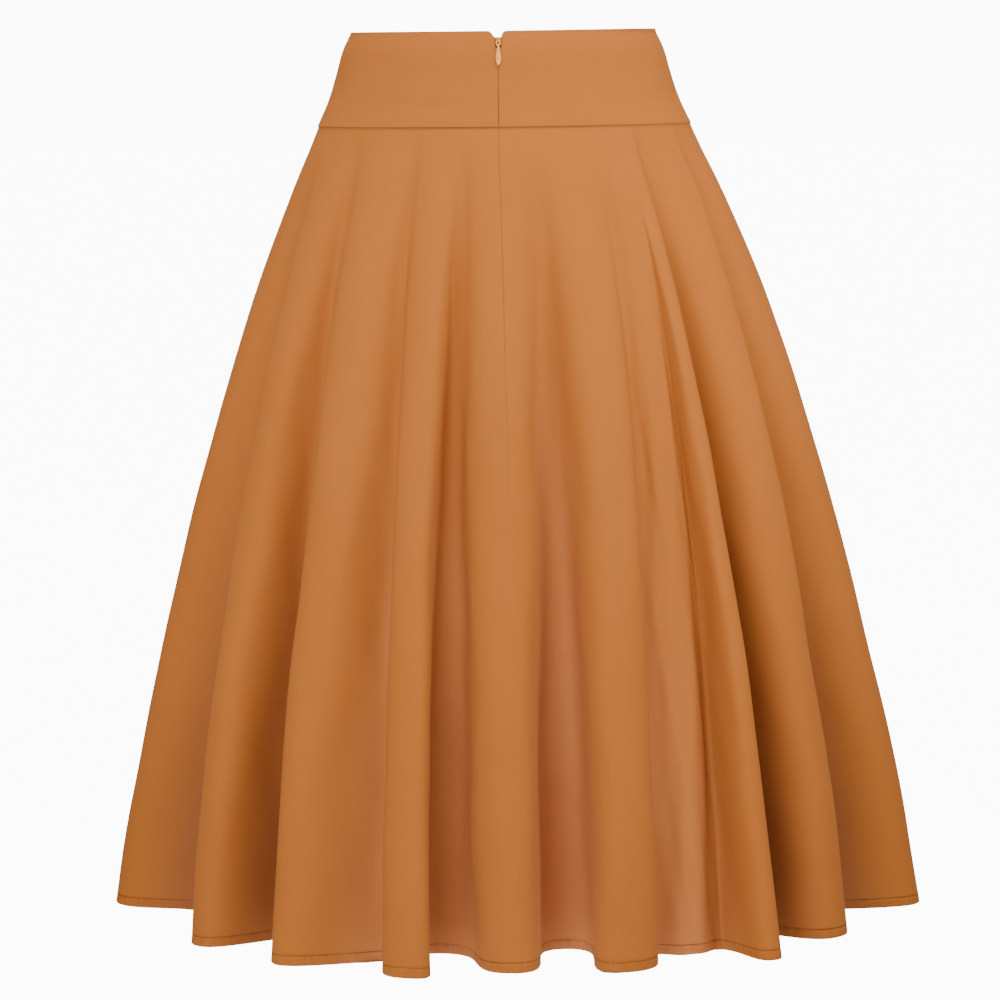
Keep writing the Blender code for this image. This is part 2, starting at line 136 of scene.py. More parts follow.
# Soft troughs (height below 0) and ridges in the cloth, from one end to the other.
Crease = namedtuple("Crease", "start_place start_drop end_place end_drop half_width height")
SKIRT_CREASES = (
    Crease(0.72, 0.105, 0.60, 0.200, 0.0060, -0.0007),
    Crease(1.70, 0.110, 1.58, 0.200, 0.0055, -0.0008),
    Crease(1.95, 0.140, 2.02, 0.260, 0.0090, 0.0007),
    Crease(2.62, 0.170, 2.50, 0.300, 0.0050, -0.0009),
    Crease(3.30, 0.150, 3.42, 0.260, 0.0050, -0.0008),
    Crease(5.05, 0.130, 4.86, 0.230, 0.0060, 0.0006),
    Crease(8.05, 0.085, 8.22, 0.190, 0.0045, 0.0009),
    Crease(7.30, 0.150, 7.42, 0.290, 0.0050, -0.0007),
    Crease(8.90, 0.100, 8.75, 0.170, 0.0080, 0.0006),
    Crease(9.35, 0.100, 9.55, 0.210, 0.0060, -0.0008),
    Crease(10.45, 0.120, 10.55, 0.240, 0.0055, -0.0008),
    Crease(11.20, 0.090, 11.05, 0.190, 0.0070, 0.0007),
    Crease(11.60, 0.130, 11.50, 0.250, 0.0050, -0.0008),
    Crease(12.55, 0.140, 12.48, 0.260, 0.0055, -0.0009),
    Crease(13.40, 0.110, 13.52, 0.220, 0.0060, -0.0007),
    Crease(14.10, 0.100, 13.95, 0.200, 0.0065, 0.0007),
    Crease(14.60, 0.120, 14.50, 0.250, 0.0050, -0.0008),
    Crease(15.40, 0.100, 15.55, 0.200, 0.0060, -0.0007),
)
BAND_CREASES = (
    Crease(-62, 0.018, -38, 0.030, 0.0100, -0.0007),
    Crease(-48, 0.046, -16, 0.050, 0.0060, 0.0005),
    Crease(-80, 0.030, -66, 0.055, 0.0090, -0.0006),
    Crease(-30, 0.060, -12, 0.056, 0.0050, -0.0004),
    Crease(14, 0.022, 40, 0.030, 0.0110, -0.0004),
    Crease(48, 0.048, 70, 0.036, 0.0080, 0.0006),
    Crease(70, 0.062, 86, 0.040, 0.0070, -0.0007),
    Crease(112, 0.020, 140, 0.032, 0.0100, -0.0006),
    Crease(150, 0.050, 186, 0.046, 0.0070, 0.0005),
    Crease(196, 0.026, 222, 0.034, 0.0090, -0.0006),
    Crease(232, 0.052, 256, 0.040, 0.0080, 0.0006),
)
# Long slow waves in the cloth: how many round the skirt, how tall, their height and their phase.
Wave = namedtuple("Wave", "round tall height phase")
WAVES = (
    Wave(22, 0.310, 0.00055, 0.4),
    Wave(-37, 0.230, 0.00040, 2.1),
    Wave(53, 0.150, 0.00022, 4.4),
    Wave(-71, 0.090, 0.00012, 1.3),
)
HEM_WAVES = (Wave(7, 1.0, 0.0006, 0.8), Wave(19, 1.0, 0.0005, 3.1), Wave(43, 1.0, 0.0002, 5.0))


# ---------------------------------------------------------------- properties
class SkirtClothSizes(bpy.types.PropertyGroup):
    """Sizes of the cloth, its seams and its hem."""
    skirt_wall: FloatProperty(name="Skirt cloth", description="Thickness of the flared panels",
                              default=0.0014, unit="LENGTH")
    band_wall: FloatProperty(name="Band", description="Thickness of the doubled waistband",
                             default=0.0020, unit="LENGTH")
    hem_turn: FloatProperty(name="Hem", description="Height of the turned-up hem",
                            default=0.0090, unit="LENGTH")
    hem_turn_wall: FloatProperty(name="Hem layers", description="What the turn-up adds to the wall",
                                 default=0.0012, unit="LENGTH")
    allowance: FloatProperty(name="Seam allowance", description="Width of the pressed-open seam edges inside",
                             default=0.0120, unit="LENGTH")
    allowance_wall: FloatProperty(name="Allowance layers", description="What they add to the wall",
                                  default=0.0007, unit="LENGTH")
    seam_radius: FloatProperty(name="Seam edge", description="How roundly the cloth turns into a seam",
                               default=0.00024, unit="LENGTH")


class SkirtStitchSizes(bpy.types.PropertyGroup):
    """Sizes of the hem's stitches."""
    height: FloatProperty(name="Height", description="Height of the stitch line above the hem's edge",
                          default=0.0078, unit="LENGTH")
    pitch: FloatProperty(name="Pitch", description="Distance from one stitch to the next",
                         default=0.0027, unit="LENGTH")
    length: FloatProperty(name="Length", description="Length of a stitch that shows",
                          default=0.0019, unit="LENGTH")
    thread: FloatProperty(name="Thread", description="Diameter of the thread", default=0.00034, unit="LENGTH")
    seed: IntProperty(name="Seed", description="Seed of the stitches' small unevenness", default=7)


class SkirtZipSizes(bpy.types.PropertyGroup):
    """Sizes of the zip."""
    top: FloatProperty(name="Top", description="Drop of the tape's upper end", default=0.0040, unit="LENGTH")
    tape_wall: FloatProperty(name="Tape", description="Thickness of the tape", default=0.0006, unit="LENGTH")
    coil_pitch: FloatProperty(name="Coil pitch", description="Distance between two turns of the coil",
                              default=0.0011, unit="LENGTH")
    coil_width: FloatProperty(name="Coil width", description="Width of the closed coil",
                              default=0.0028, unit="LENGTH")
    coil_depth: FloatProperty(name="Coil depth", description="Depth of the closed coil",
                              default=0.0013, unit="LENGTH")
    coil_wire: FloatProperty(name="Coil wire", description="Thickness of the coil's wire",
                             default=0.0005, unit="LENGTH")
    slider_width: FloatProperty(name="Slider width", description="Width of the slider",
                                default=0.0038, unit="LENGTH")
    slider_height: FloatProperty(name="Slider height", description="Height of the slider",
                                 default=0.0070, unit="LENGTH")
    slider_depth: FloatProperty(name="Slider depth", description="Depth of the slider",
                                default=0.0022, unit="LENGTH")
    pull_length: FloatProperty(name="Pull", description="Length of the pull from its axis to its tip",
                               default=0.0195, unit="LENGTH")


class SkirtFinishes(bpy.types.PropertyGroup):
    """Colours of the cloth, the thread and the zip, with the cloth's painted fill light in the deep folds and
    painted shade in the side folds.
    """
    cloth: FloatVectorProperty(name="Cloth", description="Rust orange of the woven cloth",
                               subtype="COLOR", default=(0.315, 0.0965, 0.0190), min=0, max=1)
    # Painted fill light: a lighter, browner cloth colour where the folds of the back and front are deep.
    valley: FloatVectorProperty(name="Cloth in the folds", description="The cloth where the folds are deep",
                                subtype="COLOR", default=(0.45, 0.157, 0.053), min=0, max=1)
    # Painted shade: a darker cloth colour in the deep folds at the sides.
    painted_side_shade_colour: FloatVectorProperty(name="Cloth in the side folds", description="The same at the sides",
                                     subtype="COLOR", default=(0.220, 0.070, 0.026), min=0, max=1)
    thread: FloatVectorProperty(name="Thread", description="The hem's thread", subtype="COLOR",
                                default=(0.13, 0.030, 0.006), min=0, max=1)
    tape: FloatVectorProperty(name="Tape", description="The zip's tape and coil", subtype="COLOR",
                              default=(0.50, 0.150, 0.030), min=0, max=1)
    slider: FloatVectorProperty(name="Slider", description="Enamel of the slider", subtype="COLOR",
                                default=(0.50, 0.180, 0.036), min=0, max=1)
    pull: FloatVectorProperty(name="Pull", description="Enamel of the pull", subtype="COLOR",
                              default=(0.78, 0.330, 0.065), min=0, max=1)
    yarn: FloatProperty(name="Yarn", description="Distance between two yarns of the weave",
                        default=0.00045, unit="LENGTH")


class SkirtStudioSizes(bpy.types.PropertyGroup):
    """Sizes and strengths of the studio round the skirt."""
    waist_height: FloatProperty(name="Waist height", description="Height of the waist above the floor",
                                default=1.06, unit="LENGTH")
    floor_size: FloatProperty(name="Floor", description="Radius of the floor", default=60.0, unit="LENGTH")
    lamps: FloatProperty(name="Lamps", description="Brightness of all lamps together", default=1.28)
    ambient: FloatProperty(name="Room", description="Strength of the room's even light", default=0.32)
    paper: FloatProperty(name="Paper", description="Brightness of the white background", default=11.0)


# ---------------------------------------------------------------- surfaces
def between(rows, drop, column):
    """A column's value at each drop, on a smooth curve through the rows."""
    drops = np.array([row.drop for row in rows])
    values = np.array([getattr(row, column) for row in rows])
    order = np.arange(len(rows))
    before, after = np.maximum(order - 1, 0), np.minimum(order + 1, len(rows) - 1)
    slopes = (values[after] - values[before]) / (drops[after] - drops[before])
    i = np.clip(np.searchsorted(drops, drop) - 1, 0, len(rows) - 2)
    step = drops[i + 1] - drops[i]
    s = (drop - drops[i]) / step
    return (values[i] * (1 + 2 * s) * (1 - s) ** 2 + slopes[i] * step * s * (1 - s) ** 2
            + values[i + 1] * s * s * (3 - 2 * s) + slopes[i + 1] * step * s * s * (s - 1))


def mix(a, b, share):
    return a + (b - a) * share


def smooth_step(low, high, value):
    s = np.clip((value - low) / (high - low), 0.0, 1.0)
    return s * s * (3 - 2 * s)


def bell(distance, half_width):
    return np.exp(-(distance / half_width) ** 2)


def on_section(rows, angle, drop, depth):
    """Points on the outline, a depth further in, with the waist's slight rise."""
    sideways = np.sin(angle)
    fading = np.clip(1 - drop / WAIST_RISE_FADE, 0, 1) ** 2
    rise = (WAIST_RISE + WAIST_TILT * sideways + WAIST_CURVE * sideways ** 2) * fading
    level = np.maximum(drop - rise, rows[0].drop)
    x = (between(rows, level, "half_width") - depth) * np.sin(angle) + between(rows, level, "sway")
    y = -(between(rows, level, "half_depth") - depth) * np.cos(angle)
    return np.stack(np.broadcast_arrays(x, y, rise - drop), -1)


def fold_ends(index, part, down):
    """Angle and depth of the crests or valleys with these numbers, a share of the way down.

    The breadth follows in its two parts, in half folds and in degrees.
    """
    turns, index = np.divmod(index, FOLD_COUNT)
    top, hem, depth, breadth = (np.array([getattr(f, f"{part}_{name}") for f in FOLDS])[index]
                                for name in ("top", "hem", "depth", "breadth"))
    start = np.array([f.start for f in FOLDS])[index]
    growth = np.maximum(0.0, (down - start) / (1 - start)) ** FOLD_GROWTH
    share = CREST_SHARE_TOP if part == "crest" else VALLEY_SHARE_TOP
    return mix(top, hem, down) + 360 * turns, depth * growth, share * (1 - down), breadth * down


def fold_place(u, drop):
    """Angle and depth on a smooth curve from each crest to the valley beside it."""
    u, drop = np.broadcast_arrays(u, drop)
    down = (drop - TOP) / (HEM - TOP)
    index = np.floor(u).astype(int)
    s = 2 * (u - index)
    falling = s < 1
    crest = fold_ends(np.where(falling, index, index + 1), "crest", down)
    valley = fold_ends(index, "valley", down)
    start = [np.where(falling, c, v) for c, v in zip(crest, valley)]
    end = [np.where(falling, v, c) for c, v in zip(crest, valley)]
    s = np.where(falling, s, s - 1)
    span = end[0] - start[0]
    leave, arrive, ends = 3 * s * (1 - s) ** 2, 3 * s * s * (1 - s), s ** 3
    angle = (start[0] + leave * (start[2] * span + start[3])
             + arrive * (span - end[2] * span - end[3]) + ends * span)
    return angle, mix(start[1], end[1], arrive + ends)


def skirt_outline(u, drop):
    """The skirt's outer face."""
    angle, depth = fold_place(u, drop)
    return on_section(SKIRT, np.radians(angle), drop, depth)


def band_outline(angle_deg, drop):
    angle_deg, drop = np.broadcast_arrays(angle_deg, drop)
    return on_section(BAND, np.radians(angle_deg), drop, 0.0)


def painted_fold_light_and_shade(u, drop):
    """How far a place lies in a fold, from 0 to 1: for the painted fill light in the folds of the back and
    front, and for the painted shade in those of the sides.
    """
    angle, depth = fold_place(u, drop)
    inside, sideways = smooth_step(*SHADED_DEPTHS, depth), np.abs(np.sin(np.radians(angle)))
    return inside * (1 - smooth_step(*FACING_SINES, sideways)), inside * smooth_step(*SIDE_SINES, sideways)


def inward(outline, rows, place, drop):
    """The direction into the garment, square to an outline."""
    above, below = np.maximum(drop - REACH, rows[0].drop), np.minimum(drop + REACH, rows[-1].drop)
    along = outline(place + REACH, drop) - outline(place - REACH, drop)
    across = np.cross(along, outline(place, below) - outline(place, above))
    return across / np.linalg.norm(across, axis=-1, keepdims=True)


def metres_per(outline, place, drop):
    """How far the outline runs for each unit of its place."""
    return np.linalg.norm(outline(place + REACH, drop) - outline(place - REACH, drop), axis=-1) / (2 * REACH)


def creased(creases, place, drop, metres, turn):
    """How far the creases lift the cloth; a place is a number that comes round again after a turn."""
    height = np.zeros(np.broadcast(place, drop).shape)
    for crease in creases:
        run = (crease.end_place - crease.start_place) * metres
        fall = crease.end_drop - crease.start_drop
        x = ((place - crease.start_place + turn / 2) % turn - turn / 2) * metres
        y = drop - crease.start_drop
        length = math.hypot(run, fall)
        along = (x * run + y * fall) / length
        off = (x * fall - y * run) / length
        taper = np.clip(1 - (2 * along / length - 1) ** 2, 0, 1) ** CREASE_TAPER
        height += crease.height * taper * bell(off, crease.half_width)
    return height


def waved(waves, u, drop):
    """The sum of slow waves round the skirt and down it."""
    return sum(w.height * np.sin(2 * math.pi * (w.round * u / FOLD_COUNT + drop / w.tall) + w.phase)
               for w in waves)


SKIRT_METRES = 0.085       # a fold's width where most of its creases lie
BAND_METRES = 0.0021       # a degree's width on the band
CREASE_TAPER = 1.2         # how quickly a crease fades towards its ends
WAVES_BEGIN, CREASES_BEGIN = (0.02, 0.5), (0.0, 0.03)    # shares of the way down
STITCH_PULL, STITCH_PULL_WIDTH = 0.00025, 0.0006         # how the stitches draw the cloth in


def skirt_drop(u, drop):
    """The drop of a place, with the hem's slight unevenness."""
    down = (drop - TOP) / (HEM - TOP)
    return drop + waved(HEM_WAVES, u, 0.0) * np.clip(down, 0, 1) ** 3


def skirt_lift(u, drop, stitch_height):
    """How far the cloth stands proud of its outline."""
    down = np.clip((drop - TOP) / (HEM - TOP), 0, 1)
    lift = waved(WAVES, u, drop) * smooth_step(*WAVES_BEGIN, down)
    lift = lift + creased(SKIRT_CREASES, u, drop, SKIRT_METRES, FOLD_COUNT)
    pulled_in = STITCH_PULL * bell(HEM - drop - stitch_height, STITCH_PULL_WIDTH)
    return lift * smooth_step(*CREASES_BEGIN, down) - pulled_in


def rounded(distance, radius):
    """How far a face draws in beside an edge with that radius."""
    short = np.clip(radius - distance, 0, radius)
    return radius - np.sqrt(np.maximum(radius ** 2 - short ** 2, 0))


# ---------------------------------------------------------------- meshes
MERGE = 2e-6               # two points that lie closer than this become one
SHARP_CLOTH, SHARP_METAL = math.radians(58), math.radians(50)


def closed_shell(name, outer, inner, uv, fields, finish):
    """A closed wall between two grids of points that meet where they touch at the rim."""
    rows, columns = outer.shape[:2]
    count = rows * columns
    points = np.concatenate((outer.reshape(-1, 3), inner.reshape(-1, 3)))
    front = np.arange(count).reshape(rows, columns)
    back = front + count
    met = np.linalg.norm(outer - inner, axis=-1) < MERGE
    back[met] = front[met]

    def quads(grid):
        corners = (grid[:-1, :-1], grid[1:, :-1], grid[1:, 1:], grid[:-1, 1:])
        return np.stack(corners, -1).reshape(-1, 4)

    def strip(a, b):
        return np.stack((a[:-1], a[1:], b[1:], b[:-1]), -1)

    faces = np.concatenate((quads(front), quads(back)[:, ::-1],
                            strip(back[:, 0], front[:, 0]), strip(front[:, -1], back[:, -1]),
                            strip(front[0], back[0]), strip(back[-1], front[-1])))
    return mesh_from(name, points, faces, np.tile(uv.reshape(-1, 2), (2, 1)),
                     {key: np.tile(value.reshape(-1), 2) for key, value in fields.items()}, finish)


def mesh_from(name, points, faces, uv, fields, finish):
    """A smooth mesh of quads, without the points that nothing uses and with doubled corners dropped."""
    used, packed = np.unique(faces, return_inverse=True)
    packed = packed.reshape(faces.shape)
    plain, folded = [], packed == np.roll(packed, 1, axis=1)
    for face, doubled in zip(packed.tolist(), folded.any(axis=1).tolist()):
        if doubled:
            face = [corner for i, corner in enumerate(face) if corner != face[i - 1]]
            if len(face) < 3:
                continue
        plain.append(face)
    mesh = bpy.data.meshes.new(name)
    mesh.from_pydata(points[used].tolist(), [], plain)
    corners = np.empty(len(mesh.loops), dtype=np.int32)
    mesh.loops.foreach_get("vertex_index", corners)
    layer = mesh.uv_layers.new(name="cut")
    layer.uv.foreach_set("vector", uv[used][corners].astype(np.float32).reshape(-1))
    for key, value in fields.items():
        layer = mesh.attributes.new(key, "FLOAT", "POINT")
        layer.data.foreach_set("value", value[used].astype(np.float32))
    mesh.shade_smooth()
    mesh.set_sharp_from_angle(angle=SHARP_CLOTH)
    return add_object(name, mesh, finish)


def add_object(name, mesh, finish):
    """An object in the scene for a mesh that has to be sound."""
    if mesh.validate():
        raise RuntimeError(f"{name}: its mesh had to be mended")
    if finish:
        mesh.materials.append(finish)
    made = bpy.data.objects.new(name, mesh)
    bpy.context.scene.collection.objects.link(made)
    return made


def plain_mesh(made):
    """Turns an object with modifiers into what they make of it, as a plain mesh."""
    bpy.context.view_layer.update()
    evaluated = made.evaluated_get(bpy.context.evaluated_depsgraph_get())
    mesh = bpy.data.meshes.new_from_object(evaluated)
    made.modifiers.clear()
    made.data = mesh
    if not mesh.polygons:
        raise RuntimeError(f"{made.name}: nothing was made")
    return made


# ---------------------------------------------------------------- nodes
class Nodes:
    """Adds nodes to a tree."""

    def __init__(self, tree):
        self.tree = tree

    def add(self, kind, settings=None, inputs=None):
        """A node of a type, with its settings and then its sockets' values or links."""
        node = self.tree.nodes.new(kind)
        for key, value in (settings or {}).items():
            setattr(node, key, value)
        for key, value in (inputs or {}).items():
            socket = self.find(node.inputs, key)
            if isinstance(value, Value):
                self.tree.links.new(value.socket, socket)
            else:
                socket.default_value = value
        return Made(self, node)

    @staticmethod
    def find(sockets, key):
        """The socket with that place, identifier or name."""
        if isinstance(key, int):
            return sockets[key]
        for socket in sockets:
            if socket.identifier == key:
                return socket
        return next(s for s in sockets if s.name == key and s.enabled)


class Made:
    """A node that was added; its outputs are read by name."""

    def __init__(self, nodes, node):
        self.nodes = nodes
        self.node = node

    def __getitem__(self, key):
        return Value(self.nodes, Nodes.find(self.node.outputs, key))


class Value:
    """A socket that can be written in sums; each operator adds its Math node."""

    def __init__(self, nodes, socket):
        self.nodes = nodes
        self.socket = socket

    def maths(self, operation, *operands):
        made = self.nodes.add("ShaderNodeMath", {"operation": operation}, dict(enumerate(operands)))
        return made["Value"]

    def __add__(self, other):
        return self.maths("ADD", self, other)

    def __radd__(self, other):
        return self.maths("ADD", other, self)

    def __sub__(self, other):
        return self.maths("SUBTRACT", self, other)

    def __rsub__(self, other):
        return self.maths("SUBTRACT", other, self)

    def __mul__(self, other):
        return self.maths("MULTIPLY", self, other)

    def __rmul__(self, other):
        return self.maths("MULTIPLY", other, self)

    def sine(self):
        return self.maths("SINE", self)

    def size(self):
        return self.maths("ABSOLUTE", self)

    def above(self, limit):
        return self.maths("GREATER_THAN", self, limit)

    def clamped(self):
        return self.maths("MINIMUM", self.maths("MAXIMUM", self, 0.0), 1.0)


class Finish(Nodes):
    """A material with one Principled shader, whose steady values are set on its own sockets."""

    def __init__(self, name, **steady):
        self.material = bpy.data.materials.new(name)
        self.material.use_nodes = True
        super().__init__(self.material.node_tree)
        self.shader = self.tree.nodes["Principled BSDF"]
        for key, value in steady.items():
            self.shader.inputs[key.replace("_", " ").title().replace("Ior", "IOR")].default_value = value

    def feed(self, socket, value):
        self.tree.links.new(value.socket, self.shader.inputs[socket])

    def attribute(self, name):
        return self.add("ShaderNodeAttribute", {"attribute_name": name})["Fac"]

    def noise(self, vector, scale, detail):
        return self.add("ShaderNodeTexNoise", {}, {"Vector": vector, "Scale": scale, "Detail": detail})["Fac"]

    def scaled(self, vector, factors):
        return self.add("ShaderNodeVectorMath", {"operation": "MULTIPLY"}, {0: vector, 1: factors})["Vector"]

    def tinted(self, colour, factor):
        """A colour times a factor that changes over the surface."""
        colour = colour if isinstance(colour, Value) else tuple(colour)
        return self.add("ShaderNodeVectorMath", {"operation": "SCALE"},
                        {"Vector": colour, "Scale": factor})["Vector"]

    def mixed(self, share, first, second):
        return self.add("ShaderNodeMix", {"data_type": "RGBA"},
                        {"Factor_Float": share, "A_Color": first, "B_Color": second})["Result_Color"]

    def bump(self, height, distance, strength=1.0, **under):
        """A Bump node's normal, on top of another one's where that is given."""
        inputs = {"Height": height, "Distance": distance, "Strength": strength, **under}
        return self.add("ShaderNodeBump", {}, inputs)["Normal"]

    def objects_own(self):
        return self.add("ShaderNodeTexCoord")["Object"]


# Patterns in the cloth: their scale and detail, and how much they shade it.
Pattern = namedtuple("Pattern", "scale detail shade")
CLOUDS, MOTTLE = Pattern(7.0, 3.0, 0.10), Pattern(45.0, 2.0, 0.06)
PUCKERS, DRAWN = Pattern(260.0, 1.5, 0.35), Pattern(38.0, 2.0, 0.5)
PUCKERS_TALLER = (1.0, 1.0, 0.35)
SLUB_SCALES, SLUB_SHADE = ((2200.0, 90.0, 1.0), (90.0, 2200.0, 1.0)), 0.05
WEAVE_SHADE, WEAVE_MEAN = 0.05, 0.6
# How much the painted shade beside the seams darkens the cloth, and how much darker it is along the stitch
# line.
SEAM_PAINTED_SHADE, STITCHES_DARKER = 0.14, 0.10
SHEEN_TINT = (1.0, 0.62, 0.36, 1.0)


def cloth_finish(name, finishes, roughness):
    """Plain weave on the flat cut's own measure, with uneven yarns and a soft sheen; painted shade beside the
    seams, painted fill light in the deep folds and painted shade in the side folds.
    """
    cloth = Finish(name, specular_ior_level=0.0,
                   sheen_weight=0.05, sheen_roughness=0.45, sheen_tint=SHEEN_TINT)
    cut = cloth.add("ShaderNodeUVMap", {"uv_map": "cut"})["UV"]
    flat = cloth.add("ShaderNodeSeparateXYZ", {}, {"Vector": cut})
    turn = math.pi / finishes.yarn
    warp, weft = (flat["X"] * turn).sine(), (flat["Y"] * turn).sine()
    over = (warp * weft).above(0.0)
    weave = over * warp.size() + (1 - over) * weft.size()
    body = cloth.objects_own()
    clouds = cloth.noise(body, CLOUDS.scale, CLOUDS.detail)
    mottle = cloth.noise(body, MOTTLE.scale, MOTTLE.detail)
    drawn = cloth.noise(body, DRAWN.scale, DRAWN.detail)
    puckers = cloth.noise(cloth.scaled(body, PUCKERS_TALLER), PUCKERS.scale, PUCKERS.detail)
    down, across = (cloth.noise(cloth.scaled(cut, scales), 1.0, 1.0) for scales in SLUB_SCALES)
    slubs = down + across
    turn_up = cloth.attribute("turn_up")
    shade = (1 + (clouds - 0.5) * CLOUDS.shade + (mottle - 0.5) * MOTTLE.shade + (slubs - 1) * SLUB_SHADE
             + (weave - WEAVE_MEAN) * WEAVE_SHADE)
    # Painted shade beside the seams and along the band's lower edge.
    shade = shade * (1 - cloth.attribute("seam") * SEAM_PAINTED_SHADE)
    # Painted shade in the puckers of the turned-up hem.
    shade = shade * (1 - turn_up * (puckers - 0.35).clamped() * PUCKERS.shade)
    uneven = ((drawn - 0.42).clamped() * 2.6).clamped() * DRAWN.shade
    shade = shade * (1 - cloth.attribute("stitched") * (STITCHES_DARKER + uneven))
    # Painted fill light: the cloth turns lighter and browner in the deep folds of the back and front.
    colour = cloth.mixed(cloth.attribute("deep"), (*finishes.cloth, 1.0), (*finishes.valley, 1.0))
    # Painted shade: the cloth turns darker in the side folds.
    colour = cloth.mixed(cloth.attribute("aside"), colour, (*finishes.painted_side_shade_colour, 1.0))
    cloth.feed("Base Color", cloth.tinted(colour, shade))
    cloth.feed("Roughness", roughness + (mottle - 0.5) * 0.10 - (slubs - 1) * 0.06)
    fine = cloth.bump(weave * 0.5 + slubs * 0.35, 0.00006, 0.5)
    cloth.feed("Normal", cloth.bump(mottle * 0.35 + turn_up * puckers * 1.2, 0.0007, 0.5, Normal=fine))
    return cloth.material


def thread_finish(finishes):
    thread = Finish("thread", specular_ior_level=0.1)
    place = thread.objects_own()
    plies = thread.noise(thread.scaled(place, (1.0, 1.0, 3.0)), 2600.0, 1.0)
    thread.feed("Base Color", thread.tinted(finishes.thread, 0.75 + plies * 0.5))
    thread.feed("Roughness", 0.5 + plies * 0.2)
    thread.feed("Normal", thread.bump(plies, 0.00005))
    return thread.material


RIB_ACROSS, RIB_DOWN = 0.0008, 0.0005


def tape_finish(finishes):
    """Fine knitted ribs down the tape."""
    tape = Finish("zip tape", sheen_weight=0.1)
    place = tape.objects_own()
    axes = tape.add("ShaderNodeSeparateXYZ", {}, {"Vector": place})
    ribs = (axes["X"] * (2 * math.pi / RIB_ACROSS)).sine() * (axes["Z"] * (2 * math.pi / RIB_DOWN)).sine()
    worn = tape.noise(place, 120.0, 2.0)
    tape.feed("Base Color", tape.tinted(finishes.tape, 0.95 + ribs * 0.08 + (worn - 0.5) * 0.1))
    tape.feed("Roughness", 0.75 + worn * 0.1)
    tape.feed("Normal", tape.bump(ribs, 0.00006))
    return tape.material


COAT_TINT, SPECULAR_TINT = (1.0, 0.82, 0.60, 1.0), (1.0, 0.80, 0.55, 1.0)


def enamel_finish(name, colour, bare, roughness):
    """Enamel over metal, rubbed thin in random patches, with a clear glossy coat."""
    enamel = Finish(name, coat_roughness=0.12, coat_tint=COAT_TINT, specular_tint=SPECULAR_TINT, metallic=0.1)
    place = enamel.objects_own()
    uneven = enamel.noise(place, 900.0, 2.0)
    rubbed = ((enamel.noise(place, 380.0, 3.0) - 0.55).clamped() * 3.0).clamped()
    base = enamel.tinted(colour, 0.96 + uneven * 0.08)
    enamel.feed("Base Color", enamel.mixed(rubbed * 0.35, base, (*bare, 1.0)))
    enamel.feed("Roughness", roughness + (uneven - 0.5) * 0.10)
    enamel.feed("Coat Weight", 0.55 - rubbed * 0.25)
    enamel.feed("Normal", enamel.bump(uneven, 0.00002, 0.6))
    return enamel.material


# ---------------------------------------------------------------- geometry node trees
def new_tree(name, sockets):
    """A geometry node tree with a geometry in and out, and named inputs for its sizes."""
    tree = bpy.data.node_groups.new(name, "GeometryNodeTree")
    tree.interface.new_socket("Geometry", in_out="OUTPUT", socket_type="NodeSocketGeometry")
    tree.interface.new_socket("Geometry", in_out="INPUT", socket_type="NodeSocketGeometry")
    for label, kind in sockets:
        tree.interface.new_socket(label, in_out="INPUT", socket_type=f"NodeSocket{kind}")
    nodes = Nodes(tree)
    return nodes, nodes.add("NodeGroupInput")


def end_tree(nodes, made, finish):
    """Realizes what was made, shades it smoothly and gives it its material."""
    real = nodes.add("GeometryNodeRealizeInstances", {}, {"Geometry": made})
    smooth = nodes.add("GeometryNodeSetShadeSmooth", {}, {"Geometry": real["Geometry"]})
    dressed = nodes.add("GeometryNodeSetMaterial", {}, {"Geometry": smooth["Geometry"], "Material": finish})
    nodes.add("NodeGroupOutput", {}, {"Geometry": dressed["Geometry"]})
    return nodes.tree


def along_path(nodes, given, pitch, instance, scale):
    """Copies of a shape along a path, its X along the path and its Z out of the cloth."""
    curve = nodes.add("GeometryNodeMeshToCurve", {}, {"Mesh": given["Geometry"]})
    spaced = nodes.add("GeometryNodeResampleCurve", {"mode": "LENGTH"},
                       {"Curve": curve["Curve"], "Length": pitch})
    outward = nodes.add("GeometryNodeInputNamedAttribute", {"data_type": "FLOAT_VECTOR"}, {"Name": "outward"})
    tangent = nodes.add("GeometryNodeInputTangent")
    turned = nodes.add("FunctionNodeAxesToRotation", {"primary_axis": "X", "secondary_axis": "Z"},
                       {"Primary Axis": tangent["Tangent"], "Secondary Axis": outward["Attribute"]})
    copies = nodes.add("GeometryNodeInstanceOnPoints", {},
                       {"Points": spaced["Curve"], "Instance": instance,
                        "Rotation": turned["Rotation"], "Scale": scale})
    return copies["Instances"]


def stitch_tree():
    """A row of stitches: slim rounded lengths of thread along a path."""
    nodes, given = new_tree("stitch row", (("Pitch", "Float"), ("Length", "Float"), ("Thread", "Float"),
                                           ("Seed", "Int"), ("Finish", "Material")))
    ball = nodes.add("GeometryNodeMeshUVSphere", {}, {"Segments": 6, "Rings": 5, "Radius": 0.5})
    size = nodes.add("ShaderNodeCombineXYZ", {}, {"X": given["Length"], "Y": given["Thread"],
                                                  "Z": given["Thread"]})
    stitch = nodes.add("GeometryNodeTransform", {}, {"Geometry": ball["Mesh"], "Scale": size["Vector"]})
    uneven = nodes.add("FunctionNodeRandomValue", {"data_type": "FLOAT_VECTOR"},
                       {"Min": (0.85, 0.85, 0.8), "Max": (1.1, 1.15, 1.2), "Seed": given["Seed"]})
    row = along_path(nodes, given, given["Pitch"], stitch["Geometry"], uneven["Value"])
    return end_tree(nodes, row, given["Finish"])


